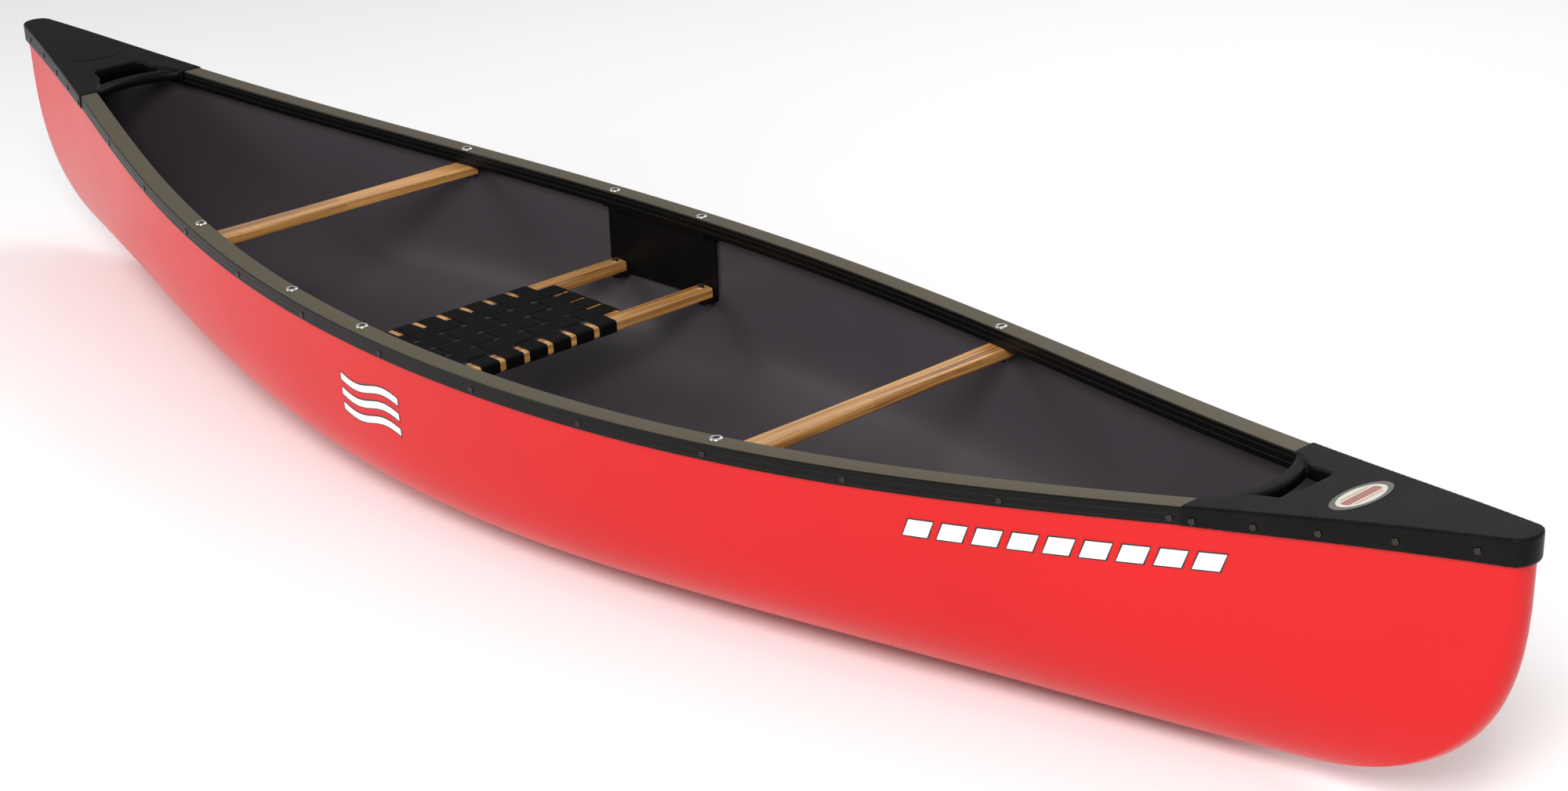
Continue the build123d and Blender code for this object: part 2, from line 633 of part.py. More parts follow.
dowel_spots = []
for bar_x, towards in zip(BAR_STATIONS, (1, -1)):
    for side in (PORT, STARBOARD):
        for shift in (-DOWEL_SPACING / 2, DOWEL_SPACING / 2):
            joint = bar_x + towards * BAR_WIDTH / 2
            middle = (joint, rail_middle[side] + shift, SEAT_TOP - BAR_THICKNESS / 2)
            dowel_spots.append(Plane(origin=middle, z_dir=(1, 0, 0)))

seat_bolt_spots = [(x, side * (bar_reach(x) - SEAT_BOLT_FROM_END))
                   for x in BAR_STATIONS for side in (PORT, STARBOARD)]

# Staples hold the turned-under tails: each is a pair of legs and a crown below the strap.
tail_depth = STRAP_FIT + STRAP_THICKNESS
staple_spots = []
for row in strap_rows:
    for bar_x in BAR_STATIONS:
        staple_spots.append((bar_x, row, 90))
for column in strap_columns:
    for side in (PORT, STARBOARD):
        staple_spots.append((column, rail_middle[side], 0))
staple_legs = []
for x, y, turn in staple_spots:
    for end in (-STAPLE_WIDTH / 2, STAPLE_WIDTH / 2):
        dx, dy = (0, end) if turn else (end, 0)
        staple_legs.append((x + dx, y + dy, SEAT_BOTTOM - tail_depth))


def leg_holes(drill):
    """Cuts the holes of every staple leg out of the part being built."""
    with Locations(*staple_legs):
        Cylinder(drill / 2, 2 * STAPLE_LEG, mode=Mode.SUBTRACT)


rear_bar, front_bar = [seat_bar(x) for x in BAR_STATIONS]
port_rail, starboard_rail = seat_rail(PORT), seat_rail(STARBOARD)

with BuildPart() as seat_front_bar:
    add(front_bar)
    with Locations(*dowel_spots):
        Cylinder(DOWEL / 2, DOWEL_LENGTH, mode=Mode.SUBTRACT)
    with Locations(*[(x, y, SEAT_TOP) for x, y in seat_bolt_spots]):
        Cylinder(BOLT_HOLE / 2, 3 * BAR_THICKNESS, mode=Mode.SUBTRACT)
    leg_holes(STAPLE_WIRE)

with BuildPart() as seat_rear_bar:
    add(rear_bar)
    with Locations(*dowel_spots):
        Cylinder(DOWEL / 2, DOWEL_LENGTH, mode=Mode.SUBTRACT)
    with Locations(*[(x, y, SEAT_TOP) for x, y in seat_bolt_spots]):
        Cylinder(BOLT_HOLE / 2, 3 * BAR_THICKNESS, mode=Mode.SUBTRACT)
    leg_holes(STAPLE_WIRE)

with BuildPart() as seat_rail_port:
    add(port_rail)
    with Locations(*dowel_spots):
        Cylinder(DOWEL / 2, DOWEL_LENGTH, mode=Mode.SUBTRACT)
    leg_holes(STAPLE_WIRE)

with BuildPart() as seat_rail_starboard:
    add(starboard_rail)
    with Locations(*dowel_spots):
        Cylinder(DOWEL / 2, DOWEL_LENGTH, mode=Mode.SUBTRACT)
    leg_holes(STAPLE_WIRE)

with BuildPart() as seat_dowels:
    with Locations(*dowel_spots):
        Cylinder(DOWEL / 2, DOWEL_LENGTH)


# --- Webbing ----------------------------------------------------------------------------------
def strap(plane, span, lift):
    """Flat strap over a frame of this span, turned under both edges and tucked inwards."""
    inside_width = span + 2 * STRAP_FIT
    inside_height = BAR_THICKNESS + 2 * STRAP_FIT + lift
    bend = BAR_ROUNDING + STRAP_FIT
    with BuildPart() as webbing:
        with BuildSketch(plane):
            with Locations((0, lift / 2)):
                RectangleRounded(inside_width + 2 * STRAP_THICKNESS,
                                 inside_height + 2 * STRAP_THICKNESS, bend + STRAP_THICKNESS)
                RectangleRounded(inside_width, inside_height, bend, mode=Mode.SUBTRACT)
            with Locations((0, -BAR_THICKNESS / 2 - STRAP_THICKNESS / 2)):
                Rectangle(span - 2 * STRAP_TUCK, 3 * STRAP_THICKNESS, mode=Mode.SUBTRACT)
        extrude(amount=STRAP_WIDTH / 2, both=True)
        leg_holes(STAPLE_WIRE)
    return webbing.part


frame_middle = SEAT_TOP - BAR_THICKNESS / 2
lengthwise_span = BAR_SPACING + BAR_WIDTH
crosswise_span = 2 * (panel_half + RAIL_WIDTH)
over_lengthwise = STRAP_THICKNESS + STRAP_FIT
webbing = {}
for i, row in enumerate(strap_rows):
    plane = Plane(origin=(SEAT_X, row, frame_middle), x_dir=(1, 0, 0), z_dir=(0, -1, 0))
    webbing[f"webbing_lengthwise_{i + 1}"] = strap(plane, lengthwise_span, 0)
for i, column in enumerate(strap_columns):
    plane = Plane(origin=(column, SEAT_SHIFT, frame_middle), x_dir=(0, 1, 0), z_dir=(1, 0, 0))
    webbing[f"webbing_crosswise_{i + 1}"] = strap(plane, crosswise_span, over_lengthwise)

with BuildPart() as webbing_staples:
    with Locations(*staple_legs):
        Cylinder(STAPLE_WIRE / 2, STAPLE_LEG, align=STANDING)
    for x, y, turn in staple_spots:
        crown_height = SEAT_BOTTOM - tail_depth - STAPLE_WIRE / 2
        with Locations(Location((x, y, crown_height), (0, 0, turn))):
            Box(STAPLE_WIDTH + STAPLE_WIRE, STAPLE_WIRE, STAPLE_WIRE)


# --- Seat hangers -----------------------------------------------------------------------------
# The flange is straight and the gunwale above it curves, so the flange drops by the curve's sag.
flange_sag = (sheer(HANGER_BOLTS[0][0]) + sheer(HANGER_BOLTS[1][0])) / 2 - sheer(SEAT_X)


def hanger():
    """Plate that hangs the port ends of the seat bars: a top flange and two feet, in one piece."""
    (aft_x, aft_y), (fore_x, fore_y) = HANGER_BOLTS
    chord = Vector(fore_x - aft_x, fore_y - aft_y, 0)
    half = chord.length / 2
    face = Plane(origin=((aft_x + fore_x) / 2, (aft_y + fore_y) / 2, 0), x_dir=chord,
                 z_dir=chord.cross(Vector(0, 0, 1)))
    tops = [sheer(x) - BOX_DEPTH - FIT - flange_sag for x in (aft_x, fore_x)]
    climb = (tops[1] - tops[0]) / (2 * half)
    far = half + HANGER_MARGIN
    aft_top, fore_top = tops[0] - climb * HANGER_MARGIN, tops[1] + climb * HANGER_MARGIN
    foot_top = SEAT_BOTTOM - FIT
    with BuildPart() as bracket:
        with BuildSketch(face.offset(-HANGER_OUT)):
            with BuildLine():
                Polyline((-far, foot_top - HANGER_WALL), (far, foot_top - HANGER_WALL),
                         (far, fore_top), (-far, aft_top), close=True)
            make_face()
        extrude(amount=HANGER_WALL)
        with BuildSketch(face.offset(-HANGER_OUT)):
            with BuildLine():
                Polyline((-far, aft_top - HANGER_WALL), (far, fore_top - HANGER_WALL),
                         (far, fore_top), (-far, aft_top), close=True)
            make_face()
        extrude(amount=HANGER_OUT + FLANGE_IN)
        with BuildSketch(face.offset(-HANGER_OUT)):
            with Locations((-half, foot_top - HANGER_WALL / 2), (half, foot_top - HANGER_WALL / 2)):
                Rectangle(HANGER_FOOT, HANGER_WALL)
        extrude(amount=HANGER_FOOT_REACH)
        with Locations(*[bolt_plane(x, PORT, BOX_DEPTH) for x in BAR_STATIONS]):
            Cylinder(BOLT_HOLE / 2, 6 * HANGER_WALL, mode=Mode.SUBTRACT)
        with Locations(*[(x, y, SEAT_BOTTOM) for x, y in seat_bolt_spots]):
            Cylinder(BOLT_HOLE / 2, 6 * HANGER_WALL, mode=Mode.SUBTRACT)
    return bracket.part


port_hanger = hanger()

with BuildPart() as seat_hanger_port:
    add(port_hanger)

with BuildPart() as seat_hanger_starboard:
    add(mirror(port_hanger, about=Plane.XZ))


# --- Fasteners --------------------------------------------------------------------------------
def oval_bolt(length):
    """Oval-headed bolt, head down to the point, its Z = 0 on the surface under the washer."""
    head_top = FINISHING_WASHER_HEIGHT
    with BuildPart() as bolt:
        with BuildSketch(Plane.XZ):
            with BuildLine():
                Polyline((0, -length), (BOLT / 2, -length), (BOLT / 2, 0), (BOLT_HEAD / 2, head_top),
                         (0, head_top + BOLT_HEAD_HEIGHT / 4), close=True)
            make_face()
        revolve(axis=Axis.Z)
    return bolt.part


def pan_bolt(length):
    """Round-edged bolt, its Z = 0 under the head."""
    with BuildPart() as bolt:
        Cylinder(BOLT_HEAD / 2, BOLT_HEAD_HEIGHT, align=STANDING)
        fillet(bolt.edges().sort_by(Axis.Z)[-1], BOLT_HEAD_HEIGHT - HEAD_EDGE)
        Cylinder(BOLT / 2, length, align=HANGING)
    return bolt.part


def blind_rivet(grip):
    """Blind rivet with a domed head, its Z = 0 under the head."""
    with BuildPart() as rivet:
        Cylinder(RIVET_HEAD / 2, RIVET_HEAD_HEIGHT, align=STANDING)
        fillet(rivet.edges().sort_by(Axis.Z)[-1], RIVET_HEAD_HEIGHT - HEAD_EDGE)
        Cylinder(RIVET / 2, grip + FIT, align=HANGING)
        with Locations((0, 0, -grip - FIT)):
            Cylinder(RIVET_BULB / 2, RIVET_BULB_LENGTH, align=HANGING)
    return rivet.part


def washer(across, thickness):
    """Flat washer standing on Z = 0."""
    with BuildPart() as ring:
        with BuildSketch():
            Circle(across / 2)
            Circle(BOLT_HOLE / 2, mode=Mode.SUBTRACT)
        extrude(amount=thickness)
    return ring.part


def nut():
    """Hexagon nut hanging from Z = 0, with its corners fore and aft."""
    with BuildPart() as hexagon:
        with BuildSketch():
            RegularPolygon(NUT / 2, 6, major_radius=False)
            Circle(BOLT / 2 + THREAD_FIT, mode=Mode.SUBTRACT)
        extrude(amount=-NUT_HEIGHT)
    return hexagon.part


def cup_washer():
    """Finishing washer: a domed ring with a dished seat for the bolt's head."""
    rim, seat = FINISHING_WASHER / 2, BOLT_HEAD / 2 + FIT
    with BuildPart() as ring:
        with BuildSketch(Plane.XZ):
            with BuildLine():
                Polyline((BOLT_HOLE / 2, 0), (rim, 0), (rim, FINISHING_WASHER_HEIGHT / 3))
                ThreePointArc((rim, FINISHING_WASHER_HEIGHT / 3),
                              ((rim + seat) / 2 + 1, FINISHING_WASHER_HEIGHT * 0.9),
                              (seat, FINISHING_WASHER_HEIGHT))
                Line((seat, FINISHING_WASHER_HEIGHT), (BOLT_HOLE / 2, 0))
            make_face()
        revolve(axis=Axis.Z)
    return ring.part


THWART_STATIONS = (STERN_THWART_X, BOW_THWART_X)
under_thwart = BOX_DEPTH + FIT + THWART_THICKNESS
under_flange = BOX_DEPTH + FIT + flange_sag + HANGER_WALL + NUT_FIT
under_foot = BAR_THICKNESS + FIT + HANGER_WALL
thwart_bolt = oval_bolt(under_thwart + FLAT_WASHER_THICKNESS + NUT_HEIGHT + BOLT_TAIL)
hanger_bolt = oval_bolt(under_flange + NUT_HEIGHT + BOLT_TAIL)
seat_bolt = pan_bolt(FLAT_WASHER_THICKNESS + under_foot + NUT_HEIGHT + BOLT_TAIL)
hex_nut = nut()
finishing_washer = cup_washer()
flat_washer = washer(FLAT_WASHER, FLAT_WASHER_THICKNESS)
short_rivet = blind_rivet(TIP_OVERHANG + WALL)
gunwale_rivet = blind_rivet(RIVET_GRIP)
collar_rivet = blind_rivet(RIVET_GRIP + TIP_OVERHANG - SKIRT_OUT)
SIDES = (PORT, STARBOARD)

with BuildPart() as thwart_bolts:
    with Locations(*[bolt_plane(x, side, 0) for x in THWART_STATIONS for side in SIDES]):
        add(thwart_bolt)

with BuildPart() as thwart_nuts:
    below = under_thwart + FLAT_WASHER_THICKNESS
    with Locations(*[bolt_plane(x, side, below) for x in THWART_STATIONS for side in SIDES]):
        add(hex_nut)

with BuildPart() as thwart_washers:
    below = under_thwart + FLAT_WASHER_THICKNESS
    with Locations(*[bolt_plane(x, side, below) for x in THWART_STATIONS for side in SIDES]):
        add(flat_washer)

with BuildPart() as hanger_bolts:
    with Locations(*[bolt_plane(x, side, 0) for x in BAR_STATIONS for side in SIDES]):
        add(hanger_bolt)

with BuildPart() as hanger_nuts:
    with Locations(*[bolt_plane(x, side, under_flange) for x in BAR_STATIONS for side in SIDES]):
        add(hex_nut)

with BuildPart() as finishing_washers:
    with Locations(*[bolt_plane(x, side, -WASHER_SEAT) for x in BOLT_STATIONS for side in SIDES]):
        add(finishing_washer)

with BuildPart() as seat_bolts:
    with Locations(*[(x, y, SEAT_TOP + FLAT_WASHER_THICKNESS) for x, y in seat_bolt_spots]):
        add(seat_bolt)

with BuildPart() as seat_washers:
    with Locations(*[(x, y, SEAT_TOP) for x, y in seat_bolt_spots]):
        add(flat_washer)

with BuildPart() as seat_nuts:
    with Locations(*[(x, y, SEAT_TOP - under_foot) for x, y in seat_bolt_spots]):
        add(hex_nut)

with BuildPart() as gunwale_rivets_port:
    with Locations(*[rim_plane(x, PORT, SKIRT_OUT, RIVET_DROP) for x in gunwale_rivet_stations]):
        add(gunwale_rivet)

with BuildPart() as gunwale_rivets_starboard:
    with Locations(*[rim_plane(x, STARBOARD, SKIRT_OUT, RIVET_DROP) for x in gunwale_rivet_stations]):
        add(gunwale_rivet)

with BuildPart() as deck_rivets:
    with Locations(*[plane for side in SIDES for plane in tip_rivets(side)]):
        add(short_rivet)
    with Locations(*[plane for side in SIDES for plane in collar_rivets(side)]):
        add(collar_rivet)


# --- Files ------------------------------------------------------------------------------------
pieces = {
    "hull_outer_skin": hull_outer_skin,
    "hull_foam_core": hull_foam_core,
    "hull_inner_skin": hull_inner_skin,
    "gunwale_port": gunwale_port.part,
    "gunwale_starboard": gunwale_starboard.part,
    "gunwale_insert_port": gunwale_insert_port.part,
    "gunwale_insert_starboard": gunwale_insert_starboard.part,
    "bow_deck": bow_deck.part,
    "stern_deck": stern_deck.part,
    "bow_badge": bow_badge.part,
    "stern_badge": stern_badge.part,
    "bow_thwart": bow_thwart.part,
    "stern_thwart": stern_thwart.part,
    "seat_front_bar": seat_front_bar.part,
    "seat_rear_bar": seat_rear_bar.part,
    "seat_rail_port": seat_rail_port.part,
    "seat_rail_starboard": seat_rail_starboard.part,
    "seat_dowels": seat_dowels.part,
    "seat_hanger_port": seat_hanger_port.part,
    "seat_hanger_starboard": seat_hanger_starboard.part,
    "webbing_staples": webbing_staples.part,
    "thwart_bolts": thwart_bolts.part,
    "thwart_nuts": thwart_nuts.part,
    "thwart_washers": thwart_washers.part,
    "hanger_bolts": hanger_bolts.part,
    "hanger_nuts": hanger_nuts.part,
    "finishing_washers": finishing_washers.part,
    "seat_bolts": seat_bolts.part,
    "seat_washers": seat_washers.part,
    "seat_nuts": seat_nuts.part,
    "gunwale_rivets_port": gunwale_rivets_port.part,
    "gunwale_rivets_starboard": gunwale_rivets_starboard.part,
    "deck_rivets": deck_rivets.part,
}
pieces.update(webbing)

os.makedirs("parts", exist_ok=True)
for name, piece in pieces.items():
    piece.label = name
    export_step(piece, f"parts/{name}.step")
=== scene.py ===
import math

import bmesh
import bpy
from mathutils import Matrix, Vector


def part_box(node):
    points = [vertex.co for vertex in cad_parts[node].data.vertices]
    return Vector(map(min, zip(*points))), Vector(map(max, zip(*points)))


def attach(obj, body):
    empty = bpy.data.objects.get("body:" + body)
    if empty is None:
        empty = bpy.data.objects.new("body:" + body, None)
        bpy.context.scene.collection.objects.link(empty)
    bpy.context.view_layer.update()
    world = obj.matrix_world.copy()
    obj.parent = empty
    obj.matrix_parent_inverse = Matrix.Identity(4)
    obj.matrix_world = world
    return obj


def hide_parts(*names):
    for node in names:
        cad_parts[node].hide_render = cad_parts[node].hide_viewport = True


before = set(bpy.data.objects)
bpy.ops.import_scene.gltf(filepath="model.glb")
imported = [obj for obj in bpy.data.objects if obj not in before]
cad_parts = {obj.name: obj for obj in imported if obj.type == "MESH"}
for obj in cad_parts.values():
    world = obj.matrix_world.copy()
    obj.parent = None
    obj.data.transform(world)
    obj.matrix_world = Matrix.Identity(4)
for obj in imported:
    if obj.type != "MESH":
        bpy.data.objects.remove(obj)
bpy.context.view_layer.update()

bl_info = {
    "name": "Open solo canoe",
    "version": (1, 0, 0),
    "blender": (4, 5, 0),
    "location": "View3D > Sidebar > Canoe",
    "description": "Dresses the canoe: hull, vinyl gunwales, decks, ash woodwork, woven seat and fittings",
    "category": "Object",
}

MM = 0.001
SIDES = {"port": 1, "starboard": -1}

# The shape of the hull, in millimetres, as the solids have it.
LENGTH, BEAM, DEPTH = 3580.0, 757.8, 316.5
END_RISE, KEEL_RISE = 134.0, 22.8
STEM_REACH, STEM_POWER = 537.0, 0.72
TIP_WIDTH, NOSE_LENGTH = 40.6, 14.0
KEEL_POWER, BILGE_POWER, SIDE_SWELL = 2.22, 0.663, 0.031
BREADTHS = ((0, 0.4, 0.65, 0.85, 1), (1, 0.8005, 0.5012, 0.2354, TIP_WIDTH / BEAM))
SHEERS = ((0, 0.5, 0.8, 1), (0, 0.2334, 0.6726, 1))
FULLNESS = ((0, 0.45, 0.75, 1), (0.368, 0.537, 0.452, 0.413))
HULL_TIP = LENGTH / 2 - 6.6
NOSE_SHARE = 1 - NOSE_LENGTH / HULL_TIP
WALL, SKIN = 7.0, 2.0
RIM_DROP, RIM_BAND = 3.0, 36.0
GUNWALE_END = 1416.0

# The film on the sides, in millimetres: places along the boat and below the sheer.
BARS, FIRST_BAR, BAR_STEP, BAR_LENGTH, BAR_SLANT = 9, 985, 50, 36, 9
BAR_TOP, BAR_FOOT = 62, 86
WAVES, WAVE_START, WAVE_END, WAVE_TOP, WAVE_STEP, WAVE_WIDTH = 3, -150, 10, 86, 26, 12
WAVE_HEIGHT, WAVE_RUN = 7, 26
BACKING_MARGIN = 2.0


def linear(code):
    """Turns an sRGB hex value into linear red, green, blue and alpha."""
    parts = [int(code[i:i + 2], 16) / 255 for i in (1, 3, 5)]
    return tuple(c / 12.92 if c <= 0.04045 else ((c + 0.055) / 1.055) ** 2.4 for c in parts) + (1.0,)


# --- Curves of the boat -----------------------------------------------------------------------
def even_curve(curve, s):
    """Smooth curve, the same fore and aft, through the values at the stations."""
    stations, values = curve
    total = 0
    for station, value in zip(stations, values):
        weight = value
        for other in stations:
            if other != station:
                weight *= (s * s - other * other) / (station * station - other * other)
        total += weight
    return total


def half_breadth(x):
    """Half breadth of the rim at station x."""
    return BEAM / 2 * even_curve(BREADTHS, x / HULL_TIP)


def slope(x):
    """Slope of the rim in plan."""
    return (half_breadth(x + 0.1) - half_breadth(x - 0.1)) / 0.2


def sheer(x):
    """Height of the top of the gunwale at station x."""
    return DEPTH + END_RISE * even_curve(SHEERS, x / HULL_TIP)


def rim_point(x, outboard, side, above):
    """Point square off the rim at station x, in metres."""
    along = outboard / math.hypot(1, slope(x))
    spot = x - slope(x) * along
    return Vector((spot, side * (half_breadth(x) + along), sheer(spot) + above)) * MM


def hull_point(s, angle, inset, side):
    """Point of the hull: angle 0 is the keel, pi / 2 the foot of the rim band."""
    rim_x = s * (HULL_TIP - inset)
    past = max(0, (abs(s) - NOSE_SHARE) / (1 - NOSE_SHARE))
    nose = math.sqrt(max(0, 1 - past * past))
    floor = KEEL_RISE * abs(s) ** KEEL_POWER + inset
    top = sheer(rim_x) - RIM_DROP - RIM_BAND
    swell = 1 + SIDE_SWELL * math.sin(2 * angle) ** 2 * (1 - s * s)
    rim_y = half_breadth(rim_x) - inset * math.hypot(1, slope(rim_x))
    lift = math.sin(angle)
    x = rim_x - s * STEM_REACH * (1 - lift ** STEM_POWER)
    y = rim_y * lift ** even_curve(FULLNESS, s) * swell * nose
    z = floor + (top - floor) * (1 - max(0, math.cos(angle)) ** BILGE_POWER)
    return Vector((x, side * y, z)) * MM


def on_side(x, below, side, proud):
    """Point of the outside at station x, this far below the sheer and this far proud."""
    s, angle = x / HULL_TIP, math.pi / 2
    for _ in range(8):
        floor = KEEL_RISE * abs(s) ** KEEL_POWER
        top = sheer(s * HULL_TIP) - RIM_DROP - RIM_BAND
        share = min(1, (sheer(x) - below - floor) / (top - floor))
        angle = math.acos(max(0, 1 - share) ** (1 / BILGE_POWER))
        s = x / (HULL_TIP - STEM_REACH * (1 - math.sin(angle) ** STEM_POWER))
    point = hull_point(s, angle, -proud, side)
    point.z = max(point.z, (sheer(x) - below) * MM) if share == 1 else point.z
    return point


# --- Mesh tools -------------------------------------------------------------------------------
def grid_piece(name, rows, wrap=False, along=None, across=None):
    """Quad mesh through rows of points, with its UV in metres along and across where they are given."""
    count = len(rows[0])
    columns = count if wrap else count - 1
    faces, corners = [], []
    for i in range(len(rows) - 1):
        for j in range(columns):
            k = (j + 1) % count
            faces.append((i * count + j, i * count + k, (i + 1) * count + k, (i + 1) * count + j))
            corners += [(i, j), (i, j + 1), (i + 1, j + 1), (i + 1, j)]
    if wrap:
        faces += [tuple(range(count))[::-1], tuple((len(rows) - 1) * count + j for j in range(count))]
        corners += [(0, j) for j in reversed(range(count))] + [(len(rows) - 1, j) for j in range(count)]
    mesh = bpy.data.meshes.new(name)
    mesh.from_pydata([p for row in rows for p in row], [], faces)
    if along:
        layer = mesh.uv_layers.new(name="metres")
        for loop, (i, j) in zip(layer.data, corners):
            loop.uv = (across[j], along[i])
    made = bpy.data.objects.new(name, mesh)
    bpy.context.scene.collection.objects.link(made)
    shell = bmesh.new()
    shell.from_mesh(mesh)
    if wrap:
        bmesh.ops.recalc_face_normals(shell, faces=shell.faces)
    for face in shell.faces:
        face.smooth = len(face.verts) == 4
    shell.to_mesh(mesh)
    shell.free()
    return made


def running_length(points):
    """Distance along a line of points, at each of them."""
    total, lengths = 0.0, [0.0]
    for a, b in zip(points, points[1:]):
        total += (b - a).length
        lengths.append(total)
    return lengths


def rounded_outline(corners, steps=5):
    """Closed outline with each corner (u, v, radius) eased over its radius."""
    outline = []
    for i, (u, v, radius) in enumerate(corners):
        here = Vector((u, v))
        if not radius:
            outline.append(here)
            continue
        before, after = Vector(corners[i - 1][:2]), Vector(corners[(i + 1) % len(corners)][:2])
        start = here + (before - here).normalized() * radius
        end = here + (after - here).normalized() * radius
        for k in range(steps + 1):
            t = k / steps
            outline.append(start * (1 - t) ** 2 + here * 2 * t * (1 - t) + end * t * t)
    return outline


def dress(piece, material, slot, *nodes):
    """Puts a piece on the boat, in its material and in place of the solids that it stands for."""
    piece.data.materials.clear()
    piece.data.materials.append(material)
    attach(piece, "root")
    if nodes:
        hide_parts(*nodes)


def paint(material, *nodes):
    """Gives the solids of these nodes their finish, with soft shading between their facets."""
    for name in nodes:
        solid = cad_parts[name]
        solid.data.materials.clear()
        solid.data.materials.append(material)
        solid.data.shade_smooth()
        solid.data.set_sharp_from_angle(angle=math.radians(32))


# --- Materials --------------------------------------------------------------------------------
def add_node(tree, kind, settings=None, links=None):
    """Adds a node with its settings, which are inputs or properties, and the links into it."""
    node = tree.nodes.new(kind)
    for key, value in (settings or {}).items():
        if isinstance(key, int) or key in node.inputs:
            node.inputs[key].default_value = value
        else:
            setattr(node, key, value)
    for key, source in (links or {}).items():
        tree.links.new(source, node.inputs[key])
    return node


def new_material(name, roughness, ior=1.5, metallic=0.0, specular=0.5):
    """Material with its shader, its tree and the coordinates of the boat in metres."""
    material = bpy.data.materials.new(name)
    material.use_nodes = True
    tree = material.node_tree
    shader = tree.nodes["Principled BSDF"]
    shader.inputs["Roughness"].default_value = roughness
    shader.inputs["IOR"].default_value = ior
    shader.inputs["Metallic"].default_value = metallic
    shader.inputs["Specular IOR Level"].default_value = specular
    place = add_node(tree, "ShaderNodeTexCoord").outputs["Object"]
    return material, tree, shader, place


def rotomoulded_polyethylene(name, colour, shade, roughness):
    """Rotomoulded polyethylene: soft gloss over a faint orange peel, with slow waves from shrinking."""
    material, tree, shader, place = new_material(name, roughness, ior=1.51, specular=0.3)
    mottle = add_node(tree, "ShaderNodeTexNoise", {"Scale": 1 / 0.35, "Detail": 3.0}, {"Vector": place})
    tone = add_node(tree, "ShaderNodeMix", {"data_type": "RGBA", 6: linear(colour), 7: linear(shade)},
                    {0: mottle.outputs["Fac"]})
    haze = add_node(tree, "ShaderNodeMapRange", {"To Min": roughness - 0.05, "To Max": roughness + 0.07},
                    {"Value": mottle.outputs["Fac"]})
    waves = add_node(tree, "ShaderNodeTexNoise", {"Scale": 1 / 0.12, "Detail": 1.0}, {"Vector": place})
    # The peel of the mould's blasted wall is about 1 mm; it is drawn at 2.5 mm so that it shows.
    peel = add_node(tree, "ShaderNodeTexNoise", {"Scale": 1 / 0.0025, "Detail": 2.0}, {"Vector": place})
    slow = add_node(tree, "ShaderNodeBump", {"Strength": 0.25, "Distance": 0.0012},
                    {"Height": waves.outputs["Fac"]})
    fine = add_node(tree, "ShaderNodeBump", {"Strength": 0.12, "Distance": 0.0002},
                    {"Height": peel.outputs["Fac"], "Normal": slow.outputs["Normal"]})
    tree.links.new(tone.outputs[2], shader.inputs["Base Color"])
    tree.links.new(haze.outputs["Result"], shader.inputs["Roughness"])
    tree.links.new(fine.outputs["Normal"], shader.inputs["Normal"])
    return material


def extruded_vinyl(name, colour, painted_sheen):
    """Extruded rigid vinyl: satin black with die lines along it, and a painted sheen that draws its upward
    faces lighter and browner.
    """
    material, tree, shader, _ = new_material(name, 0.36, ior=1.53, specular=0.14)
    uv = add_node(tree, "ShaderNodeTexCoord").outputs["UV"]
    # Die lines are 0.4 mm apart and run the whole length.
    stretch = add_node(tree, "ShaderNodeVectorMath", {"operation": "MULTIPLY", 1: (1 / 0.0008, 1.5, 1.0)},
                       {0: uv})
    lines = add_node(tree, "ShaderNodeTexNoise", {"Scale": 1.0, "Detail": 2.0},
                     {"Vector": stretch.outputs[0]})
    # Painted sheen: faces that point up take the lighter, browner colour, broken up by the die lines.
    facing = add_node(tree, "ShaderNodeNewGeometry").outputs["Normal"]
    height = add_node(tree, "ShaderNodeSeparateXYZ", None, {"Vector": facing}).outputs["Z"]
    top = add_node(tree, "ShaderNodeMapRange", {"From Min": 0.75, "From Max": 0.97}, {"Value": height})
    streak = add_node(tree, "ShaderNodeMapRange", {"To Min": 0.75, "To Max": 1.0},
                      {"Value": lines.outputs["Fac"]})
    sheen_mask = add_node(tree, "ShaderNodeMath", {"operation": "MULTIPLY"},
                    {0: top.outputs["Result"], 1: streak.outputs["Result"]})
    tone = add_node(tree, "ShaderNodeMix", {"data_type": "RGBA", 6: linear(colour), 7: linear(painted_sheen)},
                    {0: sheen_mask.outputs[0]})
    haze = add_node(tree, "ShaderNodeMapRange", {"To Min": 0.3, "To Max": 0.46},
                    {"Value": lines.outputs["Fac"]})
    ridges = add_node(tree, "ShaderNodeBump", {"Strength": 0.2, "Distance": 0.0002},
                      {"Height": lines.outputs["Fac"]})
    tree.links.new(tone.outputs[2], shader.inputs["Base Color"])
    tree.links.new(haze.outputs["Result"], shader.inputs["Roughness"])
    tree.links.new(ridges.outputs["Normal"], shader.inputs["Normal"])
    return material


